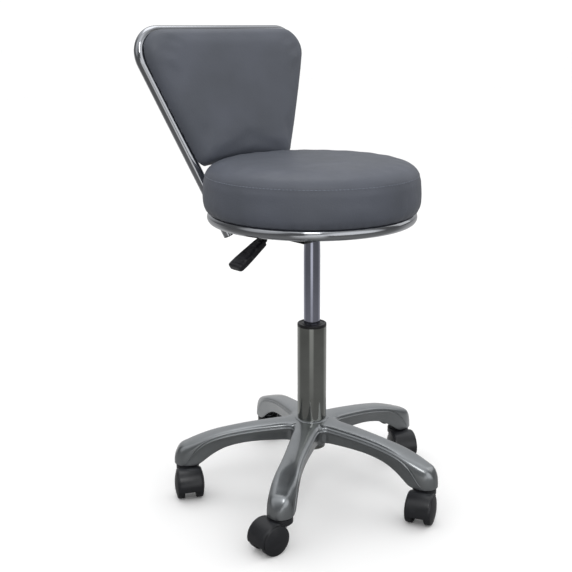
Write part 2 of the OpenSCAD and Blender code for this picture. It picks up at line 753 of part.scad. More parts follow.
module stand_tube() {
    hole_r = rod_r + drill_gap * 2;
    color("lightgray") rotate_extrude() polygon([
        [stand_r(tube_low_z), tube_low_z], [stand_tube_r, hub_top_z], [stand_tube_r, tube_top_z],
        [stand_tube_in_r, tube_top_z], [stand_tube_in_r, hub_top_z],
        [stand_r(lower_washer_z) - stand_tube_t, lower_washer_z], [hole_r, lower_washer_z],
        [hole_r, tube_low_z]]);
}

bush_in_r = cylinder_r + run_fit;
bush_sleeve_r = bush_in_r + bush_t;
bush_band_h = 15;
bush_groove = 1;

module guide_bush() {
    low_z = tube_top_z - bush_l;
    top_z = tube_top_z + bush_collar_h;
    color("#1f2123") {
        rotate_extrude() polygon([
            [bush_in_r, low_z], [stand_tube_in_r, low_z], [stand_tube_in_r, low_z + bush_band_h],
            [bush_sleeve_r, low_z + bush_band_h], [bush_sleeve_r, tube_top_z - bush_band_h],
            [stand_tube_in_r, tube_top_z - bush_band_h], [stand_tube_in_r, tube_top_z],
            [stand_tube_r, tube_top_z], [stand_tube_r, top_z - bush_groove],
            [stand_tube_r - bush_groove, top_z], [stand_tube_r - 3 * bush_groove, top_z],
            [stand_tube_r - 4 * bush_groove, top_z - bush_groove],
            [bush_sleeve_r + bush_groove, top_z - bush_groove], [bush_sleeve_r, top_z],
            [bush_in_r, top_z]]);
        for (i = [0:bush_ribs - 1]) rotate([0, 0, 360 / bush_ribs * i])
            translate([bush_sleeve_r - bush_groove, -bush_groove, low_z + bush_band_h - bush_groove])
                cube([stand_tube_in_r - bush_sleeve_r, 2 * bush_groove,
                    bush_l - 2 * bush_band_h + 2 * bush_groove]);
    }
}

module lower_washer() {
    color("silver") translate([0, 0, lower_washer_z])
        turned_ring(washer_d / 2, rod_r + 2 * drill_gap, washer_t);
}

module thrust_balls() {
    ring = (washer_d / 2 + rod_r) / 2;
    color("white") for (i = [0:ball_count - 1]) rotate([0, 0, 360 / ball_count * i])
        translate([ring, 0, ball_z + ball_d / 2]) sphere(d = ball_d - run_fit);
}

module upper_washer() {
    color("silver") translate([0, 0, upper_washer_z]) turned_ring(washer_d / 2, rod_r, washer_t);
}

module rubber_bumper() {
    color("#202020") translate([0, 0, bumper_z]) turned_ring(bumper_d / 2, rod_r, bumper_h);
}

module piston_rod() {
    top_z = piston_z + piston_h;
    color("silver") rotate_extrude() polygon([
        [0, rod_low_z], [rod_r - rod_step, rod_low_z], [rod_r, rod_low_z + rod_step],
        [rod_r, clip_z], [clip_neck_r, clip_z], [clip_neck_r, clip_z + clip_t],
        [rod_r, clip_z + clip_t], [rod_r, piston_z], [piston_bore_r, piston_z],
        [piston_bore_r, top_z], [rod_r, top_z], [rod_r - rod_step, top_z + rod_end_h],
        [0, top_z + rod_end_h]]);
}

module rod_clip() {
    color("dimgray") translate([0, 0, clip_z]) linear_extrude(clip_t) difference() {
        circle(clip_r);
        circle(clip_neck_r);
        translate([0, -clip_neck_r * 0.8]) square([clip_r + cut_over, clip_neck_r * 1.6]);
    }
}

module piston() {
    color("darkgray") translate([0, 0, piston_z])
        turned_ring(cylinder_in_r - run_fit, piston_bore_r, piston_h);
}

cylinder_top_r = cylinder_r - cylinder_taper / 2;
cylinder_chamfer = 1;
cylinder_mouth_gap = 2;
module gas_cylinder() {
    inner_top_z = cylinder_top_z - valve_block_h;
    mouth_r = rod_r + cylinder_mouth_gap;
    color("#8f939b") rotate_extrude() polygon([
        [mouth_r, cylinder_z], [cylinder_r - cylinder_chamfer, cylinder_z],
        [cylinder_r, cylinder_z + cylinder_chamfer], [cylinder_r, taper_z],
        [cylinder_top_r, cylinder_top_z], [valve_r + run_fit, cylinder_top_z],
        [valve_r + run_fit, inner_top_z], [cylinder_top_r - cylinder_t, inner_top_z],
        [cylinder_in_r, taper_z], [cylinder_in_r, seal_z], [mouth_r, seal_z]]);
}

module cylinder_seal() {
    color("#303234") translate([0, 0, seal_z]) turned_ring(cylinder_in_r, rod_r + run_fit, seal_h);
}

module valve_pin() {
    top_z = cylinder_top_z + valve_stick;
    flange_z = cylinder_top_z - valve_block_h - face_gap;
    color("silver") rotate_extrude() polygon([
        [0, flange_z - valve_flange_h], [valve_flange_r, flange_z - valve_flange_h],
        [valve_flange_r, flange_z], [valve_r, flange_z], [valve_r, top_z - valve_r / 2],
        [valve_r / 2, top_z - valve_r / 8], [valve_r / 4, top_z], [0, top_z]]);
}

// Mechanism under the seat

// Radius of the cylinder's taper at a height
function taper_r(z) = cylinder_r - cylinder_taper / 2 * (z - taper_z) / taper_l;

socket_r = cylinder_r + socket_t;
socket_chamfer = 1;
module taper_socket() {
    top_z = cylinder_top_z - plate_t;
    color("gray") rotate_extrude() polygon([
        [taper_r(socket_z), socket_z], [socket_r - socket_chamfer, socket_z],
        [socket_r, socket_z + socket_chamfer], [socket_r, top_z], [taper_r(top_z), top_z]]);
}

pivot_z = lever_z;
module lift_bracket() {
    inner_r = bracket_bend_r - plate_t;
    half_w = bracket_w / 2;
    color("#3a3c3f") difference() {
        translate([-bracket_l / 2, 0, 0]) rotate([90, 0, 90]) linear_extrude(bracket_l) polygon(concat(
            [[half_w, plate_z]],
            [for (p = arc([half_w - bracket_bend_r, bracket_z + bracket_bend_r], bracket_bend_r, 0, -90, 6)) p],
            [for (p = arc([-half_w + bracket_bend_r, bracket_z + bracket_bend_r], bracket_bend_r, -90, -180, 6)) p],
            [[-half_w, plate_z], [-half_w + plate_t, plate_z]],
            [for (p = arc([-half_w + bracket_bend_r, bracket_z + bracket_bend_r], inner_r, -180, -90, 6)) p],
            [for (p = arc([half_w - bracket_bend_r, bracket_z + bracket_bend_r], inner_r, -90, 0, 6)) p],
            [[half_w - plate_t, plate_z]]));
        translate([0, 0, bracket_z - cut_over]) cylinder(r = socket_r, h = bracket_h);
        translate([-lever_arm, 0, pivot_z]) rotate([90, 0, 0])
            cylinder(d = pivot_d, h = bracket_w + cut_over, center = true);
    }
}

module at_bolts() {
    for (x = [-1, 1]) for (y = [-1, 1]) translate([x * bolt_gap_x / 2, y * bar_gap / 2, 0]) children();
}

bolt_hole_r = bolt_d / 2 + drill_gap;
module seat_plate() {
    color("#3a3c3f") difference() {
        translate([0, 0, plate_z]) linear_extrude(plate_t) round_rect(plate_l, plate_w, plate_corner_r);
        at_bolts() translate([0, 0, plate_z - cut_over]) cylinder(r = bolt_hole_r, h = plate_t + 2 * cut_over);
    }
}

module ring_body(r) {
    translate([0, 0, ring_z]) rotate_extrude() translate([ring_r, 0]) circle(r);
}

vent_r = 1.5;
vent_turn = 20;
module seat_ring() {
    color("silver") difference() {
        ring_body(tube_r);
        ring_body(tube_r - tube_t);
        // Drain hole for the plating
        rotate([0, 0, vent_turn]) translate([ring_r - tube_d, 0, ring_z]) rotate([0, 90, 0])
            cylinder(r = vent_r, h = tube_d);
    }
}

module cross_bars() {
    color("gray") difference() {
        for (y = [-1, 1]) translate([0, y * bar_gap / 2, bar_z + bar_t / 2])
            cube([ring_d, bar_w, bar_t], center = true);
        difference() {
            translate([0, 0, bar_z - cut_over]) cylinder(r = ring_d, h = bar_t + 2 * cut_over);
            translate([0, 0, bar_z - 2 * cut_over]) cylinder(r = ring_r, h = bar_t + 4 * cut_over);
        }
        ring_body(tube_r);
        at_bolts() translate([0, 0, bar_z - cut_over]) cylinder(r = bolt_hole_r, h = bar_t + 2 * cut_over);
    }
}

bolt_top_z = board_top_z - nut_flange_t;
module plate_bolts() {
    color("silver") at_bolts() {
        translate([0, 0, bar_z - bolt_head_h])
            cylinder(d = bolt_hex / cos(30), h = bolt_head_h, $fn = 6);
        translate([0, 0, bar_z - cut_over]) cylinder(d = bolt_d, h = bolt_top_z - bar_z + cut_over);
    }
}

// A tee nut whose flange's top face is z = 0
module tee_nut() {
    translate([0, 0, -nut_flange_t]) turned_ring(nut_flange_d / 2, bolt_d / 2, nut_flange_t);
    translate([0, 0, -nut_flange_t - nut_barrel_l])
        turned_ring(nut_barrel_d / 2, bolt_d / 2, nut_barrel_l);
}

// The hole that a tee nut sits in, cut on through the board
module tee_nut_seat(depth) {
    translate([0, 0, -nut_flange_t]) cylinder(d = nut_flange_d, h = nut_flange_t + cut_over);
    translate([0, 0, -depth - cut_over]) cylinder(d = nut_barrel_d, h = depth + cut_over);
}

module tee_nuts() {
    color("silver") {
        at_bolts() translate([0, 0, board_top_z]) tee_nut();
        at_back_screws() translate([0, 0, back_board_front]) tee_nut();
    }
}

// Lever

lever_in = lever_arm + lever_nose;
module at_lever_nose() {
    translate([lever_nose, 0, lever_z]) rotate([0, -90, 0]) children();
}

rod_in_grip_share = 0.8;
lever_lengths = [lever_in + lever_out, lever_mid, grip_l * rod_in_grip_share];
lever_turns = [lever_bend_1, lever_bend_2];

module lever_rod() {
    color("#26282b") difference() {
        at_lever_nose() bent_bar(lever_lengths, lever_turns, lever_bend_r, lever_r, 0);
        translate([-lever_arm, 0, pivot_z]) rotate([90, 0, 0])
            cylinder(r = pivot_d / 2 + run_fit, h = lever_d + cut_over, center = true);
    }
}

module lever_pivot() {
    color("silver") translate([-lever_arm, 0, pivot_z]) rotate([90, 0, 0])
        cylinder(d = pivot_d, h = bracket_w + 2 * plate_t, center = true);
}

// Places the child at the end of the lever's second bend, with Z along the last stretch
module at_grip() {
    at_lever_nose() translate([-lever_bend_r, 0, lever_lengths[0]])
        rotate([0, -lever_bend_1, 0]) translate([0, 0, lever_mid])
        rotate([0, -lever_bend_2, 0]) translate([lever_bend_r, 0, 0]) children();
}

module grip_corners(w, t, z) {
    for (x = [-1, 1]) for (y = [-1, 1])
        translate([x * (t / 2 - grip_edge_r), y * (w / 2 - grip_edge_r), z])
            sphere(grip_edge_r, $fn = 20);
}

// Where the grip is widest, and how its width and thickness shrink to the tip
grip_widest_share = 0.74;
grip_turn_shares = [0.88, 0.9, 0.96];
grip_end_shares = [0.6, 0.8];

module lever_grip() {
    color("#1a1a1d") at_grip() difference() {
        hull() {
            grip_corners(grip_w_near, grip_t, grip_edge_r);
            grip_corners(grip_w_far, grip_t, grip_l * grip_widest_share);
            grip_corners(grip_w_far * grip_turn_shares[1], grip_t * grip_turn_shares[2],
                grip_l * grip_turn_shares[0]);
            grip_corners(grip_w_far * grip_end_shares[0], grip_t * grip_end_shares[1],
                grip_l - grip_edge_r);
        }
        translate([0, 0, -cut_over])
            cylinder(d = lever_d, h = grip_l * rod_in_grip_share + cut_over);
    }
}

// Seat cushion, turned about the column's axis

seat_r = seat_d / 2;
seam_r = seat_r - seat_seam_set;
seat_foot_r = seat_r - seat_edge_r - seat_swell;
seat_board_r = seat_foot_r - seat_board_set;
seat_edge_end = -6;
widest_share = 0.6;
crown_r_shares = [0.985, 0.96, 0.92, 0.86, 0.78, 0.68, 0.55, 0.4, 0.2, 0];
crown_power = 6;
crown_flat = 0.7;

// Outline of the cushion from the axis round to the axis, moved inwards by inset
function seat_outline(inset) = let (
        edge = [seat_foot_r, seat_z + seat_edge_r],
        wide_z = seat_z + seat_side_h * widest_share,
        low = arc(edge, seat_edge_r - inset, -90, seat_edge_end, 7),
        first = low[len(low) - 1])
    concat([[0, seat_z + inset]], low,
        [for (i = [1:4]) let (s = i / 4)
            [first[0] + (seat_r - inset - first[0]) * sin(90 * s), first[1] + (wide_z - first[1]) * s]],
        [for (i = [1:5]) let (s = i / 5)
            [seat_r - inset - (seat_r - seam_r) * (1 - cos(90 * s)) , wide_z + (seam_z - wide_z) * sin(90 * s)]],
        [for (s = crown_r_shares)
            [(seam_r - inset) * s, seam_z - inset
                + seat_crown * pow(1 - pow(s, crown_power), crown_flat)]]);

module seat_board() {
    color("burlywood") difference() {
        translate([0, 0, board_z]) cylinder(r = seat_board_r, h = seat_board_t, $fn = 128);
        at_bolts() translate([0, 0, board_top_z]) tee_nut_seat(seat_board_t);
    }
}

module seat_foam() {
    color("khaki") rotate_extrude($fn = 128) difference() {
        polygon(seat_outline(vinyl_t));
        translate([0, seat_z]) square([seat_board_r, board_top_z - seat_z]);
    }
}

hem_r = seat_r - seat_edge_r - hem_w;
module seat_cover() {
    color("#5b5e66") rotate_extrude($fn = 128) difference() {
        polygon(seat_outline(0));
        polygon(seat_outline(vinyl_t));
        translate([0, seat_z - cut_over]) square([hem_r, vinyl_t + 2 * cut_over]);
    }
}

module dust_cover() {
    color("#17181a") difference() {
        translate([0, 0, seat_z]) cylinder(r = hem_r, h = vinyl_t, $fn = 128);
        at_bolts() translate([0, 0, seat_z - cut_over]) cylinder(r = bolt_hole_r, h = 2 * plate_t);
    }
}

// Backrest: the child's X is across, Z is up the back's slope from the ring and -Y is forwards

module in_back_plane() {
    translate([0, back_y, ring_z]) rotate([-back_tilt, 0, 0]) children();
}

function upright_x(v) = back_base_w / 2 + v * tan(back_flare);

screw_rows = [for (share = [screw_low_share, screw_high_share]) pad_low + (back_h - pad_low) * share];
pad_back = tube_r + soft_gap;

// Places the child at each back screw, with Z forwards and z = 0 on the tubes' centre plane
module at_back_screws() {
    in_back_plane() for (v = screw_rows) for (side = [-1, 1])
        translate([side * (upright_x(v) - screw_in), 0, v]) rotate([90, 0, 0]) children();
}

module back_tabs() {
    for (v = screw_rows) for (side = [-1, 1])
        translate([side * upright_x(v), -tube_r, v]) mirror([side > 0 ? 1 : 0, 0, 0])
            translate([tube_r / 2, 0, -tab_w / 2]) cube([tab_l - tube_r / 2, tab_t, tab_w]);
}

module back_frame() {
    color("silver") difference() {
        in_back_plane() {
            translate([upright_x(-upright_tail), 0, -upright_tail]) rotate([0, back_flare, 0])
                bent_bar([upright_l, 2 * bend_x, upright_l], [back_turn, back_turn], back_bend_r,
                    tube_r, tube_t);
            back_tabs();
        }
        at_back_screws() cylinder(r = bolt_hole_r, h = 2 * tube_d, center = true);
    }
}

plug_l = 14;
plug_head = 1.5;
module tube_plugs() {
    color("#151515") in_back_plane() for (side = [0, 1]) mirror([side, 0, 0])
        translate([upright_x(-upright_tail), 0, -upright_tail]) rotate([0, back_flare, 0]) {
            translate([0, 0, -plug_head]) cylinder(r = tube_r, h = plug_head);
            translate([0, 0, -cut_over]) cylinder(r = tube_r - tube_t, h = plug_l + cut_over);
        }
}

low_arc_start = -78;
low_corner_share = 0.8;

// Half outline of the back cushion, from the middle of its lower edge to the middle of its top
function pad_half(inset) = let (
        low_x = upright_x(pad_low) - pad_inset / cos(back_flare) - pad_low_r * low_corner_share,
        low = [low_x, pad_low + pad_low_r],
        high = [bend_x, bend_v],
        low_arc = arc(low, pad_low_r - inset, low_arc_start, -back_flare, 5),
        high_arc = arc(high, back_bend_r - pad_inset - inset, -back_flare, 90, 8),
        a = low_arc[len(low_arc) - 1],
        b = high_arc[0])
    concat(
        [for (i = [0:4]) let (s = i / 5) [low_arc[0][0] * s,
            low_arc[0][1] + pad_arch * (1 - s * s) ]],
        low_arc,
        [for (i = [1:5]) let (s = i / 6, bow = pad_bow * 4 * s * (1 - s))
            [a[0] + (b[0] - a[0]) * s + bow * cos(back_flare), a[1] + (b[1] - a[1]) * s - bow * sin(back_flare)]],
        high_arc,
        [[bend_x / 2, high_arc[len(high_arc) - 1][1]]]);

function pad_outline(inset) = let (half = pad_half(inset), n = len(half))
    concat(half, [[0, half[n - 1][1]]], [for (i = [n - 1:-1:1]) [-half[i][0], half[i][1]]]);

pad_mid_share = 0.55;
pad_side = vinyl_t + back_board_t + soft_gap;
// Shares of the outline's size, and of the depth from the top of the side wall to the crown
pad_layers_shares = [[1, 0], [0.992, 0.21], [0.975, 0.43], [0.945, 0.61], [0.9, 0.77], [0.8, 0.89],
    [0.6, 0.96], [0.3, 0.993]];

// A ring of points at one depth, drawn in towards the cushion's middle
function pad_ring(outline, share, depth) = let (mid = pad_low + (back_h - pad_low) * pad_mid_share)
    [for (p = outline) [p[0] * share, -depth, mid + (p[1] - mid) * share]];

// A cushion form that starts at depth from and keeps inside the outer form by inset
module pad_form(inset, from) {
    outline = pad_outline(inset);
    n = len(outline);
    mid = pad_low + (back_h - pad_low) * pad_mid_share;
    depth = pad_t - inset;
    rings = concat([pad_ring(outline, 1, from)],
        [for (l = pad_layers_shares) pad_ring(outline, l[0], pad_side + (depth - pad_side) * l[1])]);
    rows = len(rings);
    points = concat([for (r = rings) each r], [[0, -from, mid], [0, -depth, mid]]);
    faces = concat(
        [for (i = [0:rows - 2]) for (j = [0:n - 1]) let (jj = (j + 1) % n) each [
            [i * n + j, (i + 1) * n + j, (i + 1) * n + jj], [i * n + j, (i + 1) * n + jj, i * n + jj]]],
        [for (j = [0:n - 1]) [rows * n, j, (j + 1) % n]],
        [for (j = [0:n - 1]) [rows * n + 1, (rows - 1) * n + (j + 1) % n, (rows - 1) * n + j]]);
    polyhedron(points, faces, convexity = 4);
}

module in_pad() {
    in_back_plane() translate([0, -pad_back, 0]) children();
}

back_board_front = pad_back + vinyl_t + back_board_t;

module back_board() {
    color("burlywood") difference() {
        in_pad() translate([0, -vinyl_t, 0]) rotate([90, 0, 0]) linear_extrude(back_board_t)
            polygon(pad_outline(vinyl_t));
        at_back_screws() translate([0, 0, back_board_front]) tee_nut_seat(back_board_t);
    }
}

module back_foam() {
    color("khaki") in_pad() pad_form(vinyl_t, vinyl_t + back_board_t);
}

module back_cover() {
    color("#5b5e66") difference() {
        in_pad() pad_form(0, 0);
        in_pad() pad_form(vinyl_t, vinyl_t);
        at_back_screws() cylinder(r = bolt_hole_r, h = pad_back + 2 * vinyl_t);
    }
}

screw_head_r = 5.5;
screw_head_h = 3;
module back_screws() {
    color("silver") at_back_screws() {
        translate([0, 0, tube_r - tab_t - screw_head_h]) cylinder(r = screw_head_r, h = screw_head_h);
        translate([0, 0, tube_r - tab_t - cut_over])
            cylinder(d = bolt_d, h = back_board_front - nut_flange_t - tube_r + tab_t + cut_over);
    }
}

star_base();
stem_sockets();
stand_tube();
guide_bush();
lower_washer();
thrust_balls();
piston_rod();
piston();
rod_clip();
upper_washer();
rubber_bumper();
gas_cylinder();
cylinder_seal();
taper_socket();
lift_bracket();
seat_plate();
plate_bolts();
tee_nuts();
lever_pivot();
seat_ring();
cross_bars();
back_frame();
tube_plugs();
seat_board();
seat_foam();
seat_cover();
dust_cover();
back_board();
back_foam();
back_cover();
back_screws();
lever_rod();
lever_grip();
valve_pin();
for (k = [1:LEGS]) {
    hood(k);
    stem(k);
    axle(k);
    wheel_left(k);
    wheel_right(k);
}
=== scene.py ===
import math

import bmesh
import bpy
from mathutils import Matrix, Vector, noise


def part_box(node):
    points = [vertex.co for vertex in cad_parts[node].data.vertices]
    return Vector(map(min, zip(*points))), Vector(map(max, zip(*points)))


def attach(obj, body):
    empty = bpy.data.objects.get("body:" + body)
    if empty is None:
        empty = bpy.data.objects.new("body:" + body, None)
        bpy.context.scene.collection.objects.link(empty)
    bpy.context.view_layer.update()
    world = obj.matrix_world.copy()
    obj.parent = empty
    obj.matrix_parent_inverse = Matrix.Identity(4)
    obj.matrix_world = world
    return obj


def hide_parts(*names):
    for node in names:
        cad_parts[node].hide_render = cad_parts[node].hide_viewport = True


bl_info = {
    "name": "Examination stool",
    "version": (1, 0, 0),
    "blender": (4, 5, 0),
    "location": "3D View > Sidebar > Stool",
    "description": "An examination stool: cushions, chromed frame, gas lift, base and castors",
    "category": "Add Mesh",
}

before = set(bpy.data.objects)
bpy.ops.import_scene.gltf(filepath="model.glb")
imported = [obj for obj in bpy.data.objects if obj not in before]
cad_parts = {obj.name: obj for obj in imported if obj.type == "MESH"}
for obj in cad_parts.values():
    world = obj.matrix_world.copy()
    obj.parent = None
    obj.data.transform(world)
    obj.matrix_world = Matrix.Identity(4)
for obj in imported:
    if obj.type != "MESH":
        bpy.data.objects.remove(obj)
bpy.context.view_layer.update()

# Places that the frame settles, in metres
SEAT_LOW, SEAT_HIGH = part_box("seat_cover")
SEAT_RADIUS = SEAT_HIGH.x
RING_LOW, RING_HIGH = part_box("seat_ring")
RING_Z = (RING_LOW.z + RING_HIGH.z) / 2
TUBE_RADIUS = (RING_HIGH.z - RING_LOW.z) / 2
BASE_LOW, BASE_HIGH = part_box("star_base")
MM = 0.001
# The castors' numbers in the frame's names
CASTORS = (1, 2, 3, 4, 5)


# Sizes and colours that a user would change


class StoolCushions(bpy.types.PropertyGroup):
    """Sizes of the two cushions"""

    seat_side: bpy.props.FloatProperty(
        name="Seat side", description="Height of the seat's upright side",
        default=0.053, min=0.03, max=0.055, unit="LENGTH")
    seam_height: bpy.props.FloatProperty(
        name="Seam height", description="Height of the seam round the seat above its underside",
        default=0.056, min=0.054, max=0.07, unit="LENGTH")
    seat_crown: bpy.props.FloatProperty(
        name="Seat crown", description="Rise of the seat's shoulder and top above its upright side",
        default=0.0298, min=0.02, max=0.045, unit="LENGTH")
    seat_edge: bpy.props.FloatProperty(
        name="Seat lower edge", description="Radius of the seat's lower edge",
        default=0.014, min=0.006, max=0.02, unit="LENGTH")
    back_depth: bpy.props.FloatProperty(
        name="Back depth", description="Depth of the back cushion from its flat back to its crown",
        default=0.034, min=0.02, max=0.05, unit="LENGTH")
    stitch_length: bpy.props.FloatProperty(
        name="Stitch length", description="Length of one stitch on the seat's seam",
        default=0.0042, min=0.002, max=0.008, unit="LENGTH")


class StoolColours(bpy.types.PropertyGroup):
    """Colours of the stool's finishes"""

    vinyl: bpy.props.StringProperty(
        name="Vinyl", description="sRGB hex colour of the upholstery vinyl", default="#565a63")
    chrome: bpy.props.StringProperty(
        name="Chrome", description="sRGB hex colour of the chrome plating", default="#b9bbbf")
    dark_plate: bpy.props.StringProperty(
        name="Dark plate", description="sRGB hex colour of the stand tube's plating",
        default="#9a9c98")
    ground_steel: bpy.props.StringProperty(
        name="Ground steel", description="sRGB hex colour of the gas cylinder", default="#b6b8c8")
    aluminium: bpy.props.StringProperty(
        name="Aluminium", description="sRGB hex colour of the polished casting", default="#9a9ea1")
    nylon: bpy.props.StringProperty(
        name="Nylon", description="sRGB hex colour of the castors", default="#1f2023")
    grip: bpy.props.StringProperty(
        name="Grip", description="sRGB hex colour of the lever's grip", default="#1b1b1f")
    floor: bpy.props.StringProperty(
        name="Floor", description="sRGB hex colour of the floor", default="#fbfbfb")


class StoolStage(bpy.types.PropertyGroup):
    """Camera and lights"""

    lens: bpy.props.FloatProperty(
        name="Lens", description="Focal length in millimetres on a 36 mm sensor",
        default=62.64, min=20, max=200)
    key_power: bpy.props.FloatProperty(
        name="Key light", description="Power of the large light above the camera, in watts",
        default=11, min=0, max=500)
    fill_power: bpy.props.FloatProperty(
        name="Fill light", description="Power of the light beside the stool, in watts",
        default=4, min=0, max=500)


# Small helpers


def linear(hex_colour):
    """Turns an sRGB hex colour into the linear RGBA that a shader takes."""
    channels = [int(hex_colour[i:i + 2], 16) / 255 for i in (1, 3, 5)]
    curve = [c / 12.92 if c <= 0.04045 else ((c + 0.055) / 1.055) ** 2.4 for c in channels]
    return (*curve, 1.0)


def shade(hex_colour, factor):
    """The same colour, lighter or darker."""
    channels = [min(255, round(int(hex_colour[i:i + 2], 16) * factor)) for i in (1, 3, 5)]
    return "#%02x%02x%02x" % tuple(channels)


def fill_inputs(tree, node, inputs):
    """Gives each named input of a node a value or a link."""
    for name, value in inputs.items():
        if isinstance(value, bpy.types.NodeSocket):
            tree.links.new(value, node.inputs[name])
        else:
            node.inputs[name].default_value = value


def add_node(tree, kind, inputs=None, **settings):
    """Adds a node, sets it and fills its inputs."""
    node = tree.nodes.new(kind)
    for name, value in settings.items():
        setattr(node, name, value)
    fill_inputs(tree, node, inputs or {})
    return node


def per_size(millimetres):
    """Texture scale at which one feature is this many millimetres across."""
    return 1000 / millimetres


def new_finish(name):
    """A material with its node tree and the piece's own coordinates."""
    material = bpy.data.materials.new(name)
    material.use_nodes = True
    tree = material.node_tree
    coords = add_node(tree, "ShaderNodeTexCoord").outputs["Object"]
    return material, tree, coords


def finished(material, inputs):
    """The material, once the inputs of its shader are filled."""
    tree = material.node_tree
    fill_inputs(tree, tree.nodes["Principled BSDF"], inputs)
    return material


def noise_at(tree, coords, millimetres, detail=3.0, roughness=0.5):
    """Noise whose main features are this many millimetres across."""
    return add_node(tree, "ShaderNodeTexNoise",
                    {"Vector": coords, "Scale": per_size(millimetres), "Detail": detail,
                     "Roughness": roughness}).outputs["Fac"]


def stretched(tree, coords, scale):
    """The piece's coordinates with a pattern drawn out along an axis of small scale."""
    return add_node(tree, "ShaderNodeMapping", {"Vector": coords, "Scale": scale}).outputs["Vector"]


def tone(tree, factor, dark, light, low=0.35, high=0.65):
    """Colour that runs from dark to light as the factor goes from low to high."""
    ramp = add_node(tree, "ShaderNodeValToRGB", {"Fac": factor})
    ramp.color_ramp.elements[0].position = low
    ramp.color_ramp.elements[0].color = linear(dark)
    ramp.color_ramp.elements[1].position = high
    ramp.color_ramp.elements[1].color = linear(light)
    return ramp.outputs["Color"]


def spread(tree, factor, low, high):
    """Number that runs from low to high as the factor goes from 0 to 1."""
    return add_node(tree, "ShaderNodeMapRange",
                    {"Value": factor, "To Min": low, "To Max": high}).outputs["Result"]


def bump(tree, height, depth, below=None):
    """Bump of this depth in millimetres, on top of another."""
    inputs = {"Height": height, "Distance": depth * MM, "Strength": 1.0}
    if below is not None:
        inputs["Normal"] = below
    return add_node(tree, "ShaderNodeBump", inputs).outputs["Normal"]


# Finishes


def upholstery_vinyl(colours):
    # PVC leathercloth, embossed: a pebbled grain that breaks up its soft sheen, and faint
    # clouding where the foam presses through. The grain is drawn at 2.6 mm, twice its real size.
    material, tree, coords = new_finish("Embossed PVC leathercloth")
    clouds = noise_at(tree, coords, 90, 2)
    pebbles = add_node(tree, "ShaderNodeTexVoronoi",
                       {"Vector": coords, "Scale": per_size(2.6), "Randomness": 0.9},
                       feature="SMOOTH_F1").outputs["Distance"]
    creases = noise_at(tree, coords, 9, 4, 0.6)
    worn = noise_at(tree, coords, 30, 3)
    return finished(material, {
        "Base Color": tone(tree, clouds, shade(colours.vinyl, 0.95),
                           shade(colours.vinyl, 1.05), 0.3, 0.7),
        "Roughness": spread(tree, worn, 0.42, 0.56),
        "IOR": 1.5,
        "Specular IOR Level": 0.42,
        "Normal": bump(tree, creases, 0.25, bump(tree, pebbles, 0.16))})


def chrome_plate(colours):
    # Chrome over polished steel tube: a mirror that runs in streaks along the tube, with a
    # haze of handling marks and the slight ripple that polishing leaves.
    material, tree, coords = new_finish("Chrome plate on steel tube")
    haze = noise_at(tree, coords, 14, 4)
    ripple = noise_at(tree, coords, 30, 1)
    return finished(material, {
        "Base Color": linear(colours.chrome),
        "Metallic": 1.0,
        "Roughness": spread(tree, haze, 0.06, 0.16),
        "Normal": bump(tree, ripple, 0.05)})


def dark_nickel(colours):
    # Nickel under thin chrome on the drawn stand tube: a darker, warmer mirror, with the faint
    # long draw lines of the tube.
    material, tree, coords = new_finish("Dark nickel plate on drawn tube")
    haze = noise_at(tree, coords, 40, 4)
    lines = noise_at(tree, stretched(tree, coords, (1, 1, 0.02)), 6, 2)
    return finished(material, {
        "Base Color": tone(tree, haze, shade(colours.dark_plate, 0.97),
                           shade(colours.dark_plate, 1.03)),
        "Metallic": 1.0,
        "Roughness": spread(tree, haze, 0.07, 0.12),
        "Normal": bump(tree, lines, 0.008)})


def ground_cylinder(colours):
    # Hard-chromed and ground gas cylinder: satin, slightly lilac, with fine grinding rings
    # whose haze draws one broad streak down it.
    material, tree, coords = new_finish("Ground hard chrome")
    haze = noise_at(tree, coords, 40, 3)
    rings = noise_at(tree, stretched(tree, coords, (0.1, 0.1, 1)), 3, 2)
    steel = colours.ground_steel
    return finished(material, {
        "Base Color": tone(tree, haze, shade(steel, 0.98), shade(steel, 1.02)),
        "Metallic": 1.0,
        "Roughness": spread(tree, haze, 0.1, 0.14),
        "Normal": bump(tree, rings, 0.001)})


def polished_casting(colours):
    # Die-cast aluminium, buffed and lacquered: grey satin with soft broad highlights, the fine
    # marks and orange peel that buffing leaves, and small sharp glints in the clear lacquer.
    material, tree, coords = new_finish("Buffed and lacquered die-cast aluminium")
    clouds = noise_at(tree, coords, 35, 3)
    smears = noise_at(tree, coords, 11, 4, 0.6)
    peel = noise_at(tree, coords, 16, 2)
    marks = noise_at(tree, coords, 3, 3)
    return finished(material, {
        "Base Color": tone(tree, clouds, shade(colours.aluminium, 0.94), colours.aluminium,
                           0.3, 0.7),
        "Metallic": 1.0,
        "Roughness": spread(tree, smears, 0.3, 0.4),
        "Coat Weight": 1.0,
        "Coat Roughness": 0.1,
        "Coat IOR": 1.8,
        "Normal": bump(tree, marks, 0.003, bump(tree, peel, 0.06))})


def moulded_nylon(colours):
    # Nylon from a spark-eroded mould: near black with a soft grey sheen and a fine grain,
    # scuffed a little paler.
    material, tree, coords = new_finish("Moulded black nylon")
    scuffs = noise_at(tree, coords, 7, 5, 0.65)
    grain = noise_at(tree, coords, 1.1, 2)
    return finished(material, {
        "Base Color": tone(tree, scuffs, colours.nylon, shade(colours.nylon, 1.25), 0.5, 0.8),
        "Roughness": spread(tree, scuffs, 0.24, 0.38),
        "IOR": 1.53,
        "Normal": bump(tree, grain, 0.05)})


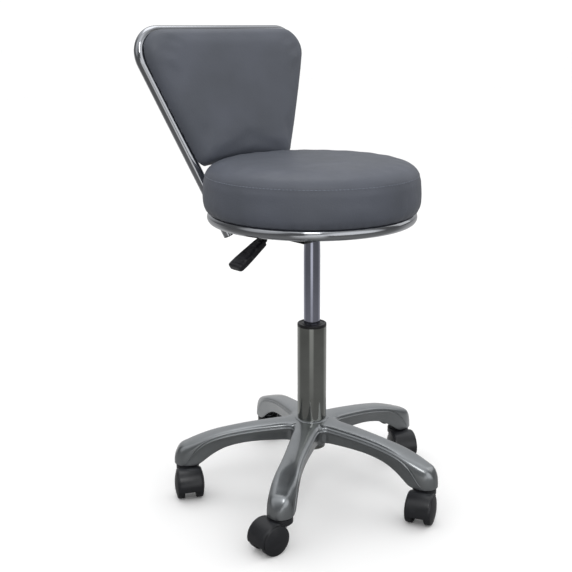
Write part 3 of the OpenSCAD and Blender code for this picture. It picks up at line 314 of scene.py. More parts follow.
def glossy_grip(colours):
    # Polypropylene from a smooth mould: black with a clear highlight and slight sink marks.
    material, tree, coords = new_finish("Smooth black polypropylene")
    smears = noise_at(tree, coords, 6, 4)
    sinks = noise_at(tree, coords, 18, 1)
    return finished(material, {
        "Base Color": tone(tree, smears, shade(colours.grip, 0.9), shade(colours.grip, 1.15)),
        "Roughness": spread(tree, smears, 0.26, 0.4),
        "IOR": 1.49,
        "Normal": bump(tree, sinks, 0.06)})


def moulded_bush():
    # Acetal bush: deep black and faintly satin, with a fine grain.
    material, tree, coords = new_finish("Black acetal")
    grain = noise_at(tree, coords, 2, 3)
    return finished(material, {
        "Base Color": tone(tree, grain, "#101012", "#1a1a1c"),
        "Roughness": spread(tree, grain, 0.3, 0.42),
        "Normal": bump(tree, grain, 0.03)})


def powder_coat():
    # Black epoxy powder coat on pressed steel: fine orange peel with a low satin sheen.
    material, tree, coords = new_finish("Black epoxy powder coat")
    peel = noise_at(tree, coords, 2.2, 2)
    return finished(material, {
        "Base Color": tone(tree, noise_at(tree, coords, 20), "#1d1e20", "#26272a"),
        "Roughness": spread(tree, peel, 0.38, 0.5),
        "Normal": bump(tree, peel, 0.08)})


def zinc_plate():
    # Bright zinc on small steel pieces: pale, slightly blue and cloudy.
    material, tree, coords = new_finish("Bright zinc plate")
    clouds = noise_at(tree, coords, 4, 3)
    return finished(material, {
        "Base Color": tone(tree, clouds, "#a3a7ad", "#bcc0c4"),
        "Metallic": 1.0,
        "Roughness": spread(tree, clouds, 0.25, 0.42),
        "Normal": bump(tree, clouds, 0.03)})


def birch_plywood():
    # Birch plywood, sanded: pale straw with thin darker plies along its edges.
    material, tree, coords = new_finish("Birch plywood")
    plies = add_node(tree, "ShaderNodeTexWave",
                     {"Vector": coords, "Scale": per_size(8), "Distortion": 1.5, "Detail": 3},
                     bands_direction="Z").outputs["Fac"]
    return finished(material, {
        "Base Color": tone(tree, plies, "#b08a58", "#d8b98a", 0.1, 0.9),
        "Roughness": 0.62,
        "Normal": bump(tree, plies, 0.05)})


def dust_cloth():
    # Spun-bonded polypropylene under the seat: black and felted, with no sheen.
    material, tree, coords = new_finish("Spun-bonded dust cloth")
    fibres = noise_at(tree, coords, 1.8, 5, 0.7)
    return finished(material, {
        "Base Color": tone(tree, fibres, "#0d0d0e", "#1e1e20"),
        "Roughness": 0.9,
        "Normal": bump(tree, fibres, 0.2)})


def rubber_black():
    # Nitrile rubber: dull black with a slight bloom.
    material, tree, coords = new_finish("Nitrile rubber")
    bloom = noise_at(tree, coords, 5, 4)
    return finished(material, {
        "Base Color": tone(tree, bloom, "#141415", "#222224"),
        "Roughness": spread(tree, bloom, 0.6, 0.8),
        "Normal": bump(tree, bloom, 0.05)})


def acetal_white():
    # White acetal balls: smooth and slightly waxy.
    material, tree, coords = new_finish("White acetal")
    wax = noise_at(tree, coords, 3, 2)
    return finished(material, {
        "Base Color": tone(tree, wax, "#dcdad2", "#ecebe6"),
        "Roughness": spread(tree, wax, 0.28, 0.38)})


def polyester_thread(colours):
    # Bonded polyester thread: two shades paler than the vinyl, twisted, faintly shiny.
    material, tree, coords = new_finish("Bonded polyester thread")
    twist = noise_at(tree, coords, 1, 2)
    return finished(material, {
        "Base Color": tone(tree, twist, shade(colours.vinyl, 1.3), shade(colours.vinyl, 1.55)),
        "Roughness": 0.45,
        "Normal": bump(tree, twist, 0.1)})


# Pieces

# Steps round a turned form, and the distance under which two points are one
SPIN_STEPS = 96
SAME_POINT = 0.00001
# How far the CAD pieces' edges are softened, in metres, and past what turn in degrees
FINE_EDGE = 0.0004
SMALL_EDGE = 0.0005
SOFT_EDGE = 0.0006
SHEET_TURN = 32
MOULD_TURN = 40
# The stuffing's pressure and how many frames it blows for
CLOTH_PRESSURE = 4
CLOTH_FRAMES = 20


def to_piece(bm, name, material, body):
    """Makes a bmesh an object of the scene that rides on a body."""
    mesh = bpy.data.meshes.new(name)
    bm.to_mesh(mesh)
    bm.free()
    mesh.polygons.foreach_set("use_smooth", [True] * len(mesh.polygons))
    mesh.materials.append(material)
    piece = bpy.data.objects.new(name, mesh)
    bpy.context.scene.collection.objects.link(piece)
    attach(piece, body)
    return piece


def soften(piece, width, angle):
    """Rounds the piece's edges that turn by more than an angle in degrees."""
    edge = piece.modifiers.new("Soft edges", "BEVEL")
    edge.width = width
    edge.segments = 2
    edge.limit_method = "ANGLE"
    edge.angle_limit = math.radians(angle)


def finish_node(node, material, round_edge=0.0, angle=SHEET_TURN):
    """Gives a CAD node its finish and, where asked, soft edges."""
    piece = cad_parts[node]
    piece.data.materials.clear()
    piece.data.materials.append(material)
    if round_edge:
        weld = piece.modifiers.new("Close the seams", "WELD")
        weld.merge_threshold = SAME_POINT
        soften(piece, round_edge, angle)


def subdivide(piece, levels):
    """Rounds a piece with a subdivision surface."""
    modifier = piece.modifiers.new("Subdivision", "SUBSURF")
    modifier.levels = levels
    modifier.render_levels = levels


def arc_points(centre, radius, start, end, steps):
    """Points on an arc in the plane, with both ends, angles in degrees."""
    turns = [math.radians(start + (end - start) * i / steps) for i in range(steps + 1)]
    return [Vector((centre[0] + radius * math.cos(a), centre[1] + radius * math.sin(a)))
            for a in turns]


def spin_profile(profile, closed=False):
    """A form turned about the column's axis from (radius, height) points.

    A profile that isn't closed starts and ends on the axis.
    """
    bm = bmesh.new()
    verts = [bm.verts.new((r, 0, z)) for r, z in profile]
    ahead = verts[1:] + verts[:1] if closed else verts[1:]
    edges = [bm.edges.new(pair) for pair in zip(verts, ahead)]
    bmesh.ops.spin(bm, geom=verts + edges, cent=(0, 0, 0), axis=(0, 0, 1), angle=2 * math.pi,
                   steps=SPIN_STEPS, use_merge=True, use_duplicate=False)
    bmesh.ops.remove_doubles(bm, verts=bm.verts, dist=SAME_POINT)
    bmesh.ops.recalc_face_normals(bm, faces=bm.faces)
    return bm


def baked_mesh(piece):
    """The piece's mesh with its modifiers applied."""
    graph = bpy.context.evaluated_depsgraph_get()
    return bpy.data.meshes.new_from_object(piece.evaluated_get(graph))


def inflate(piece, voxel, reach, held):
    """Stuffs a padded piece: even cloth, a short blow under pressure, a limit on how far it moves.

    held says, for a point of the piece, whether the board behind it holds it still.
    """
    remesh = piece.modifiers.new("Even cloth", "REMESH")
    remesh.mode = "VOXEL"
    remesh.voxel_size = voxel
    bpy.context.view_layer.update()
    even = baked_mesh(piece)
    piece.modifiers.clear()
    piece.data = even
    still = piece.vertex_groups.new(name="held")
    still.add([v.index for v in even.vertices if held(v.co)], 1.0, "REPLACE")
    cloth = piece.modifiers.new("Stuffing", "CLOTH")
    cloth.settings.use_pressure = True
    cloth.settings.uniform_pressure_force = CLOTH_PRESSURE
    cloth.settings.effector_weights.gravity = 0
    cloth.settings.vertex_group_mass = "held"
    cloth.settings.quality = 5
    for step in range(CLOTH_FRAMES):
        bpy.context.scene.frame_set(step + 1)
    blown = baked_mesh(piece)
    for start, end in zip(even.vertices, blown.vertices):
        move = end.co - start.co
        if move.length > reach:
            end.co = start.co + move.normalized() * reach
    piece.modifiers.clear()
    piece.vertex_groups.clear()
    piece.data = blown
    bpy.context.scene.frame_set(1)


def smooth_cloth(piece, turns):
    """Evens out the steps that remeshing leaves."""
    bm = bmesh.new()
    bm.from_mesh(piece.data)
    for _ in range(turns):
        bmesh.ops.smooth_vert(bm, verts=bm.verts, factor=0.5, use_axis_x=True, use_axis_y=True,
                              use_axis_z=True)
    bm.to_mesh(piece.data)
    bm.free()
    piece.data.polygons.foreach_set("use_smooth", [True] * len(piece.data.polygons))


# Seat cushion

# How far the stuffing may move the cover, the size of its even cloth and the turns of smoothing
SEAT_SWELL = 0.002
SEAT_VOXEL = 0.005
SEAT_SMOOTHING = 5
# Height of the part of the cover that the board holds
SEAT_HEM = 0.008
# How far up its side the seat is widest, as a share, and the steps up to there
SIDE_FULLEST = 0.6
SIDE_STEPS = (0.25, 0.5, 0.75, 1)
# How flat the seat's top is, how tightly its shoulder turns, and the steps from there to the axis
TOP_FLATNESS = 14
SHOULDER_TURN = 0.6
TOP_STEPS = (0.997, 0.99, 0.98, 0.965, 0.945, 0.915, 0.87, 0.8, 0.7, 0.55, 0.4, 0.2, 0)
# The seam's width and depth, and how long its puckers are in millimetres
SEAM_WIDTH = 0.0035
SEAM_DEPTH = 0.0012
PUCKER_LENGTH = 14
# How far the vinyl sinks over the ring, and how far out from the ring's centre line
RING_DENT = 0.0018
RING_DENT_REACH = 0.008
# The stitches: distance above the seam, pitch in stitch lengths, how far they are pulled in, and
# the thread's radius and sides
STITCH_RISE = 0.004
STITCH_PITCH = 1.45
STITCH_PULL = 0.0002
THREAD_RADIUS = 0.00045
THREAD_SIDES = 6


def seat_profile(sizes, shrink):
    """Outline of the seat cushion from the axis under it to the axis on top."""
    low = SEAT_LOW.z
    edge_centre = (SEAT_RADIUS - sizes.seat_edge - MM, low + sizes.seat_edge - shrink)
    wide_z = low + SIDE_FULLEST * sizes.seat_side
    side_z = low + sizes.seat_side
    points = [Vector((0, low)), Vector((edge_centre[0] * 0.5, low))]
    points += arc_points(edge_centre, sizes.seat_edge - shrink, -90, -6, 7)
    first = points[-1]
    points += [Vector((first.x + (SEAT_RADIUS - shrink - first.x) * math.sin(math.pi / 2 * s),
                       first.y + (wide_z - first.y) * s)) for s in SIDE_STEPS]
    points.append(Vector((SEAT_RADIUS - shrink, side_z)))
    points += [Vector(((SEAT_RADIUS - shrink) * s, side_z - shrink
                       + sizes.seat_crown * (1 - s ** TOP_FLATNESS) ** SHOULDER_TURN))
               for s in TOP_STEPS]
    return points


def off_axis(point):
    """Distance of a point from the column's axis."""
    return math.hypot(point.x, point.y)


def radius_at(piece, height):
    """The cushion's own radius at a height above its underside, from the points near there."""
    reach = 0.0015
    level = [off_axis(v.co) for v in piece.data.vertices
             if abs(v.co.z - SEAT_LOW.z - height) < reach and off_axis(v.co) > 0.8 * SEAT_RADIUS]
    return sum(level) / len(level)


def pinch_seat_seam(piece, sizes):
    """Draws the cover in along the seam round the side, as the thread does."""
    seam_z = SEAT_LOW.z + sizes.seam_height
    radius = radius_at(piece, sizes.seam_height)
    for vert in piece.data.vertices:
        around = off_axis(vert.co)
        away = math.hypot(around - radius, vert.co.z - seam_z)
        if away < 3 * SEAM_WIDTH:
            pull = math.exp(-(away / SEAM_WIDTH) ** 2)
            pucker = 0.75 + 0.25 * noise.noise(vert.co * per_size(PUCKER_LENGTH))
            inward = Vector((-vert.co.x, -vert.co.y, -0.2 * around)).normalized()
            vert.co += inward * SEAM_DEPTH * pull * pucker


def fill_width(piece):
    """Draws the cushion out again to its full radius, which the smoothing took in."""
    grown = SEAT_RADIUS / max(off_axis(v.co) for v in piece.data.vertices)
    for vert in piece.data.vertices:
        vert.co.x *= grown
        vert.co.y *= grown


def press_on_ring(piece):
    """Flattens the underside and lets it sink a little over the seat ring."""
    ring_radius = RING_HIGH.x - TUBE_RADIUS
    for vert in piece.data.vertices:
        if vert.co.z < SEAT_LOW.z + SEAT_HEM / 2:
            off_ring = (off_axis(vert.co) - ring_radius) / RING_DENT_REACH
            vert.co.z = SEAT_LOW.z - RING_DENT * math.exp(-off_ring ** 2)


class STOOL_OT_seat_cushion(bpy.types.Operator):
    """Stuffed round seat in grey vinyl, with its sewn seam"""

    bl_idname = "stool.seat_cushion"
    bl_label = "Seat cushion"

    def execute(self, context):
        sizes = context.scene.stool_cushions
        colours = context.scene.stool_colours
        form = spin_profile(seat_profile(sizes, SEAT_SWELL))
        seat = to_piece(form, "seat_cushion", upholstery_vinyl(colours), "seat")
        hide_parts("seat_foam", "seat_cover")
        inflate(seat, SEAT_VOXEL, SEAT_SWELL, lambda p: p.z < SEAT_LOW.z + SEAT_HEM)
        smooth_cloth(seat, SEAT_SMOOTHING)
        fill_width(seat)
        press_on_ring(seat)
        pinch_seat_seam(seat, sizes)
        subdivide(seat, 1)
        self.stitches(seat, sizes, colours)
        return {"FINISHED"}

    def stitches(self, seat, sizes, colours):
        """A row of stitches just above the seam."""
        bm = bmesh.new()
        above = sizes.seam_height + STITCH_RISE
        radius = radius_at(seat, above) - STITCH_PULL
        count = round(2 * math.pi * radius / (sizes.stitch_length * STITCH_PITCH))
        lie = (Matrix.Translation((radius, 0, SEAT_LOW.z + above))
               @ Matrix.Rotation(math.radians(90), 4, "X"))
        for i in range(count):
            turn = Matrix.Rotation(2 * math.pi * i / count, 4, "Z")
            bmesh.ops.create_cone(bm, segments=THREAD_SIDES, radius1=THREAD_RADIUS,
                                  radius2=THREAD_RADIUS, depth=sizes.stitch_length,
                                  cap_ends=True, matrix=turn @ lie)
        to_piece(bm, "seat_stitches", polyester_thread(colours), "seat")


# Back cushion

# The back frame's slope and the spread of its uprights, in degrees
BACK_TILT = 14.2
BACK_FLARE = 20.8
# Half its width at the ring, its height up the slope and the radius of its upper corners
BACK_BASE_HALF = 0.0733
BACK_HEIGHT = 0.3039
BACK_BEND = 0.040
# Radius of the circle on which the uprights pass the ring
UPRIGHT_CIRCLE = 0.1845
BACK_Y = math.sqrt(UPRIGHT_CIRCLE ** 2 - BACK_BASE_HALF ** 2)
IN_BACK_PLANE = (Matrix.Translation((0, BACK_Y, RING_Z))
                 @ Matrix.Rotation(math.radians(-BACK_TILT), 4, "X"))
TO_BACK_PLANE = IN_BACK_PLANE.inverted()
# The cushion's lower edge: how far up it is, how it arches, and the radius of its corners
PAD_LOW = 0.071
PAD_ARCH = 0.0095
PAD_LOW_RADIUS = 0.018
# How far the cushion stays inside the tube's centre line, and how its sides bow out
PAD_INSET = 0.001
PAD_BOW = 0.0016
# The uprights press a little into the vinyl
PAD_BACK = TUBE_RADIUS - 0.0009
# Depth of the cushion's side, and how far the stuffing may move its cover
PAD_SIDE = 0.0105
BACK_SWELL = 0.002
BACK_VOXEL = 0.0045
BACK_SMOOTHING = 5
# Depth of the part of the cover that the board holds, and how far the form goes past its outline
BACK_HEM = 0.006
BACK_OVERLAP = 0.001
# The cushion's fullest place, as a share of its height, and its layers as (size, depth) shares
PAD_MIDDLE = 0.55
PAD_LAYERS = ((1.0, 0.0), (0.992, 0.21), (0.975, 0.43), (0.945, 0.61), (0.9, 0.77), (0.8, 0.89),
              (0.6, 0.96), (0.3, 0.993))


def upright_x(height):
    """Distance of an upright's centre line from the middle, at a height up the back's slope."""
    return BACK_BASE_HALF + height * math.tan(math.radians(BACK_FLARE))


def pad_half(shrink):
    """Half the back cushion's outline, from the middle of its lower edge to that of its top."""
    corner_x = BACK_BASE_HALF + BACK_HEIGHT * math.tan(math.radians(BACK_FLARE))
    bend_x = corner_x - BACK_BEND * math.tan(math.radians((90 + BACK_FLARE) / 2))
    bend_v = BACK_HEIGHT - BACK_BEND
    inset = PAD_INSET / math.cos(math.radians(BACK_FLARE))
    low = (upright_x(PAD_LOW) - inset - PAD_LOW_RADIUS * 0.8, PAD_LOW + PAD_LOW_RADIUS)
    low_arc = arc_points(low, PAD_LOW_RADIUS - shrink, -78, -BACK_FLARE, 6)
    top_arc = arc_points((bend_x, bend_v), BACK_BEND - PAD_INSET - shrink, -BACK_FLARE, 90, 9)
    start = low_arc[0]
    points = [Vector((start.x * s, start.y + PAD_ARCH * (1 - s * s) ** 1.7))
              for s in (0, 0.2, 0.4, 0.6, 0.8)]
    points += low_arc
    outward = Vector((math.cos(math.radians(BACK_FLARE)), -math.sin(math.radians(BACK_FLARE))))
    for i in range(1, 6):
        s = i / 6
        bow = outward * PAD_BOW * 4 * s * (1 - s)
        points.append(low_arc[-1].lerp(top_arc[0], s) + bow)
    points += top_arc
    points.append(Vector((bend_x / 2, top_arc[-1].y)))
    return points


def fill_outline(piece):
    """Draws the cushion's edge out to the uprights again, and lays it flat on its board."""
    local = [TO_BACK_PLANE @ v.co for v in piece.data.vertices]
    half_width = max(p.x for p in local)
    top = max(p.z for p in local)
    low = min(p.z for p in local)
    wide = max(p.x for p in pad_half(-BACK_OVERLAP)) / half_width
    rise = BACK_HEIGHT - PAD_INSET - PAD_LOW + 2 * BACK_OVERLAP
    for vert, p in zip(piece.data.vertices, local):
        share = (p.z - low) / (top - low)
        height = PAD_LOW - BACK_OVERLAP + share * rise
        vert.co = IN_BACK_PLANE @ Vector((p.x * wide, min(p.y, -PAD_BACK), height))


def back_form(sizes):
    """The back cushion before it is stuffed: its outline, drawn forward in smaller layers."""
    half = pad_half(-BACK_OVERLAP)
    outline = half + [Vector((0, half[-1].y))] + [Vector((-p.x, p.y)) for p in half[:0:-1]]
    bm = bmesh.new()
    front = bm.faces.new([bm.verts.new((p.x, BACK_OVERLAP - PAD_BACK, p.y)) for p in outline])
    middle = Vector((0, 0, PAD_LOW + (BACK_HEIGHT - PAD_LOW) * PAD_MIDDLE))
    crown = sizes.back_depth - BACK_SWELL
    depth = -BACK_OVERLAP
    share = 1.0
    for layer_share, layer_depth in PAD_LAYERS:
        grown = bmesh.ops.extrude_face_region(bm, geom=[front])
        front = next(g for g in grown["geom"] if isinstance(g, bmesh.types.BMFace))
        target = PAD_SIDE + (crown - PAD_SIDE) * layer_depth
        bmesh.ops.translate(bm, verts=front.verts, vec=(0, depth - target, 0))
        bmesh.ops.scale(bm, verts=front.verts, vec=(layer_share / share, 1, layer_share / share),
                        space=Matrix.Translation(-middle))
        depth = target
        share = layer_share
    bmesh.ops.recalc_face_normals(bm, faces=bm.faces)
    bmesh.ops.transform(bm, matrix=IN_BACK_PLANE, verts=bm.verts)
    return bm


class STOOL_OT_back_cushion(bpy.types.Operator):
    """Stuffed backrest in grey vinyl, between the uprights"""

    bl_idname = "stool.back_cushion"
    bl_label = "Back cushion"

    def execute(self, context):
        sizes = context.scene.stool_cushions
        colours = context.scene.stool_colours
        vinyl = upholstery_vinyl(colours)
        back = to_piece(back_form(sizes), "back_cushion", vinyl, "seat")
        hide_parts("back_foam", "back_cover")
        inflate(back, BACK_VOXEL, BACK_SWELL,
                lambda p: (TO_BACK_PLANE @ p).y > -PAD_BACK - BACK_HEM)
        smooth_cloth(back, BACK_SMOOTHING)
        fill_outline(back)
        subdivide(back, 1)
        return {"FINISHED"}


# Tube frame, plates and screws


class STOOL_OT_tube_frame(bpy.types.Operator):
    """Chromed seat ring and back frame, with the plate, bars, screws and plugs"""

    bl_idname = "stool.tube_frame"
    bl_label = "Tube frame"

    def execute(self, context):
        colours = context.scene.stool_colours
        chrome = chrome_plate(colours)
        for node in ("seat_ring", "back_frame"):
            finish_node(node, chrome)
        finish_node("cross_bars", chrome, SOFT_EDGE)
        coat = powder_coat()
        finish_node("seat_plate", coat, SOFT_EDGE)
        finish_node("lift_bracket", coat, SMALL_EDGE)
        finish_node("taper_socket", coat, SMALL_EDGE)
        zinc = zinc_plate()
        for node in ("plate_bolts", "tee_nuts", "back_screws", "lever_pivot"):
            finish_node(node, zinc, FINE_EDGE)
        finish_node("tube_plugs", moulded_nylon(colours), FINE_EDGE)
        wood = birch_plywood()
        finish_node("seat_board", wood, SMALL_EDGE)
        finish_node("back_board", wood)
        finish_node("dust_cover", dust_cloth())
        return {"FINISHED"}


class STOOL_OT_gas_lift(bpy.types.Operator):
    """Stand tube, guide bush, gas cylinder and the pieces inside them"""

    bl_idname = "stool.gas_lift"
    bl_label = "Gas lift"

    def execute(self, context):
        colours = context.scene.stool_colours
        finish_node("stand_tube", dark_nickel(colours))
        finish_node("gas_cylinder", ground_cylinder(colours), FINE_EDGE)
        finish_node("guide_bush", moulded_bush(), SMALL_EDGE)
        zinc = zinc_plate()
        for node in ("lower_washer", "upper_washer", "piston_rod", "piston", "rod_clip",
                     "valve_pin"):
            finish_node(node, zinc)
        rubber = rubber_black()
        for node in ("rubber_bumper", "cylinder_seal"):
            finish_node(node, rubber)
        finish_node("thrust_balls", acetal_white())
        return {"FINISHED"}


# Lever

# The rod's straight and bent lengths, in metres, and its bends, in degrees
LEVER_NOSE = 0.009
LEVER_STRAIGHT = 0.051
LEVER_MIDDLE = 0.058
LEVER_BEND = 0.014
LEVER_TURNS = (22, 9.5)
# Along the grip from the rod: place, half width, half thickness, in millimetres, and how square
GRIP_STEPS = ((0.3, 5.3, 5.3, 0), (1.0, 5.8, 5.8, 0), (4.6, 5.9, 5.9, 0), (5.4, 5.5, 5.5, 0),
              (6.4, 5.6, 5.6, 0.1), (6.9, 8.2, 6.0, 0.6), (8.2, 9.7, 6.4, 0.9), (16, 10.7, 6.5, 1),
              (30, 12.3, 6.5, 1), (44, 13.9, 6.5, 1), (58, 15.1, 6.5, 1), (68, 15.3, 6.3, 1),
              (71.6, 14.9, 6.0, 1), (73.4, 13.4, 5.0, 1), (74, 10.6, 3.2, 1))
# The grip's end at the rod, the inset that rounds its far end, and the points round it
GRIP_START = (4.6, 4.6, 0, 0)
GRIP_END_INSET = 0.0018
GRIP_POINTS = 24
# How much the square sections pull their points out to the corners
GRIP_SQUARE = 0.62


def grip_place():
    """The rod's outer end: local Z runs out along the grip and local Y across it."""
    turn = [Matrix.Rotation(math.radians(-angle), 4, "Y") for angle in (90, *LEVER_TURNS)]
    low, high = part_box("lever_pivot")
    return (Matrix.Translation((LEVER_NOSE, 0, (low.z + high.z) / 2)) @ turn[0]
            @ Matrix.Translation((-LEVER_BEND, 0, LEVER_STRAIGHT)) @ turn[1]
            @ Matrix.Translation((0, 0, LEVER_MIDDLE)) @ turn[2]
            @ Matrix.Translation((LEVER_BEND, 0, 0)))


def grip_ring(wide, thick, square, place):
    """Points round the grip, from a circle to a rectangle with round corners."""
    power = 1 - GRIP_SQUARE * square
    turns = [2 * math.pi * (i + 0.5) / GRIP_POINTS for i in range(GRIP_POINTS)]
    return [Vector((thick * math.copysign(abs(math.cos(a)) ** power, math.cos(a)) * MM,
                    wide * math.copysign(abs(math.sin(a)) ** power, math.sin(a)) * MM, place * MM))
            for a in turns]


def grip_form():
    """A flat paddle with a collar at the rod, drawn out ring by ring."""
    bm = bmesh.new()
    front = bm.faces.new([bm.verts.new(p) for p in grip_ring(*GRIP_START)])
    for place, wide, thick, square in GRIP_STEPS:
        grown = bmesh.ops.extrude_face_region(bm, geom=[front], use_keep_orig=place < 1)
        front = next(g for g in grown["geom"] if isinstance(g, bmesh.types.BMFace))
        for vert, point in zip(front.verts, grip_ring(wide, thick, square, place)):
            vert.co = point
    bmesh.ops.inset_region(bm, faces=[front], thickness=GRIP_END_INSET)
    bmesh.ops.recalc_face_normals(bm, faces=bm.faces)
    bmesh.ops.transform(bm, matrix=grip_place(), verts=bm.verts)
    return bm


class STOOL_OT_lever(bpy.types.Operator):
    """Height lever with its moulded grip"""

    bl_idname = "stool.lever"
    bl_label = "Height lever"

    def execute(self, context):
        colours = context.scene.stool_colours
        finish_node("lever_rod", powder_coat())
        grip = to_piece(grip_form(), "grip_paddle", glossy_grip(colours), "lever")
        subdivide(grip, 2)
        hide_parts("lever_grip")
        return {"FINISHED"}


# Star base

# The first leg's turn from +X, and the radius of the castors' circle
LEG_TURN = math.radians(-1.8)
LEGS = 5
CASTOR_CIRCLE = 0.2188
FOOT_Z = BASE_LOW.z
HUB_TOP_Z = BASE_HIGH.z
LEG_RISE = HUB_TOP_Z - FOOT_Z
HUB_Z = FOOT_Z + 0.0297
# Half a leg's width at its waist, where legs meet, and the radius of a leg's nose
LEG_HALF_WIDTH = 0.0173
CROTCH_RADIUS = 0.045
TIP_RADIUS = 0.0224
# Height of a leg's rounded shoulder, depth of the groove under it, and the casting's wall
SHOULDER = 0.0055
GROOVE = 0.0009
CAST_WALL = 0.004
# The hub: its radius, at its foot too, the tube's bore, and how its foot and rim are rounded
HUB_RADIUS = 0.030
HUB_LOW_RADIUS = 0.027
HUB_BORE = 0.024
HUB_CHAMFER = 0.0006
HUB_FOOT_ROUND = 0.003
HUB_RIM_ROUND = 0.0028
MITRE = math.radians(180 / LEGS)

# Along a leg: its place, half width, crown height and underside, as shares of the circle,
# the waist, the rise of the hub and the lift of its underside
LEG_ROWS = (
    (0.175, 1.39, 0.953, 1.434), (0.19, 1.27, 0.95, 1.434), (0.215, 1.19, 0.946, 1.434),
    (0.256, 1.16, 0.938, 1.434), (0.32, 1.13, 0.922, 1.424), (0.41, 1.075, 0.894, 1.396),
    (0.512, 1.02, 0.858, 1.339), (0.59, 1.0, 0.824, 1.236), (0.672, 1.01, 0.781, 1.104),
    (0.75, 1.06, 0.734, 0.868), (0.832, 1.15, 0.6655, 0.491), (0.91, 1.24, 0.588, 0.0),
    (0.96, 1.28, 0.536, 0.0), (1.0, 1.295, 0.4855, 0.0))
LEG_BULGES = (0.021, 0.02, 0.017, 0.009)
# How far the shoulder has swept down to the foot, at the last rows before the nose
LEG_SWEEPS = {0.91: 0.12, 0.96: 0.45, 1.0: 0.8}
NOSE_STEPS = (22, 40, 56, 70, 81, 90)
# Across a leg: the crown out to the shoulder, then groove, bead, wall and the hollow inside
CROWN_STEPS = ((0.0, 0.0), (0.3, 0.02), (0.57, 0.1), (0.78, 0.27), (0.92, 0.56), (0.985, 0.88),
               (1.0, 1.12))
# How much of the sweep each of those points of the crown takes
CROWN_SWEEPS = (0, 0, 0.02, 0.12, 0.36, 0.7, 1)
# Under the crown: how far groove and bead stand out, as a share of the groove's depth, and how
# far down they are, in shoulders
RIM_STEPS = ((-1.0, 1.22), (-1.5, 1.34), (-1.0, 1.46), (0.4, 1.56), (1.0, 1.74), (0.9, 2.02),
             (-0.1, 2.3))
RIM_FOOT = 2.6
# The crown's height where legs meet and on the rings in to the tube, as shares of the hub's rise
CROTCH_TOP = 0.956
CROWN_RINGS = ((0.0351, 0.965), (0.0285, 0.975), (0.0245, 0.978))
# The hollow's rings in to the tube, their height, and the lift of the hub's underside
CEILING_RINGS = (0.0351, 0.0245)
CEILING_TOP = 0.84
HUB_LIFT = 1.434
# The rib under a leg: its first row, laid out as the leg's rows are, how far above the leg's
# underside it ends, and its thickness
RIB_START = (0.13, 0, 0.86, HUB_LIFT)
RIB_SET = 0.004
RIB_THICKNESS = 0.003


def row_scale(top, low):
    """Where a leg grows thin, its shoulder and groove shrink with it."""
    return min(1, (top - low) / (3.6 * SHOULDER))


def leg_section(x, half, top, low, bulge, solid, sweep=0.0):
    """Half a leg's section, from the middle of its crown round to the middle of its hollow.

    sweep says how far the shoulder, groove and bead have come down to the foot and faded, 0 to 1.
    """
    s = row_scale(top, low)
    slim = s * min(1, half / 0.006)
    drop = SHOULDER * s
    lip = GROOVE * slim * (1 - sweep)
    wall = min(CAST_WALL, 0.2 * half)
    round_edge = 0.0011 * slim * (1 - 0.9 * sweep)
    squeezed = drop * (1 - 0.85 * sweep)
    bead_foot = top - RIM_FOOT * drop - sweep * max(0, top - low - RIM_FOOT * drop)
    rim = [(share, bead_foot + (RIM_FOOT - down) * squeezed) for share, down in RIM_STEPS]
    last_crown = CROWN_STEPS[-1][1]
    fall = top - last_crown * drop - bead_foot - (RIM_FOOT - last_crown) * squeezed
    points = [(half * y, top - drop * z - fall * w) for (y, z), w in zip(CROWN_STEPS, CROWN_SWEEPS)]
    points += [(half + share * lip, z) for share, z in rim]
    points += [(half - 0.5 * lip, (rim[-1][1] + low + round_edge) / 2),
               (half - 0.5 * lip, low + round_edge), (half - 0.5 * lip - round_edge, low),
               (half - wall, low)]
    ceiling = low + 0.0012 * slim if solid else top - 1.1 * drop
    points += [(half - wall, low + (0.0006 * slim if solid else 0.002)),
               (half - wall, ceiling - 0.0003 * slim), (half - wall - 0.0014 * slim, ceiling),
               ((half - wall) * 0.45, ceiling), (0, ceiling)]
    section = []
    for y, z in points:
        t = min(1, y / half) if half else 0
        section.append(Vector((x + bulge * (1 - t * t), y, z)))
    return section


def crotch_section():
    """The section on the line where two legs meet, so its outer points lie on that line."""
    half = CROTCH_RADIUS * math.sin(MITRE)
    x = CROTCH_RADIUS * math.cos(MITRE)
    low = FOOT_Z + (HUB_Z - FOOT_Z) * HUB_LIFT
    section = leg_section(x, half, FOOT_Z + LEG_RISE * CROTCH_TOP, low,
                          CASTOR_CIRCLE * LEG_BULGES[0], False)
    for point in section[len(CROWN_STEPS) - 1:-2]:
        point.x = point.y / math.tan(MITRE)
    return section


def leg_sections():
    """Sections from the line where legs meet out to the leg's nose."""
    sections = [crotch_section()]
    for i, (along, width, top, low) in enumerate(LEG_ROWS):
        bulge = CASTOR_CIRCLE * LEG_BULGES[i] if i < len(LEG_BULGES) else 0
        half = TIP_RADIUS if along == 1.0 else LEG_HALF_WIDTH * width
        sections.append(leg_section(CASTOR_CIRCLE * along, half, FOOT_Z + LEG_RISE * top,
                                    FOOT_Z + (HUB_Z - FOOT_Z) * low, bulge, along > 0.92,
                                    LEG_SWEEPS.get(along, 0)))
    for step in NOSE_STEPS:
        turn = math.radians(step)
        top = LEG_RISE * LEG_ROWS[-1][2] * (0.1 + 0.9 * math.cos(turn))
        half = 0 if step == 90 else TIP_RADIUS * math.cos(turn)
        sections.append(leg_section(CASTOR_CIRCLE + TIP_RADIUS * math.sin(turn), half,
                                    FOOT_Z + top, FOOT_Z, 0, True, 1))
    return sections


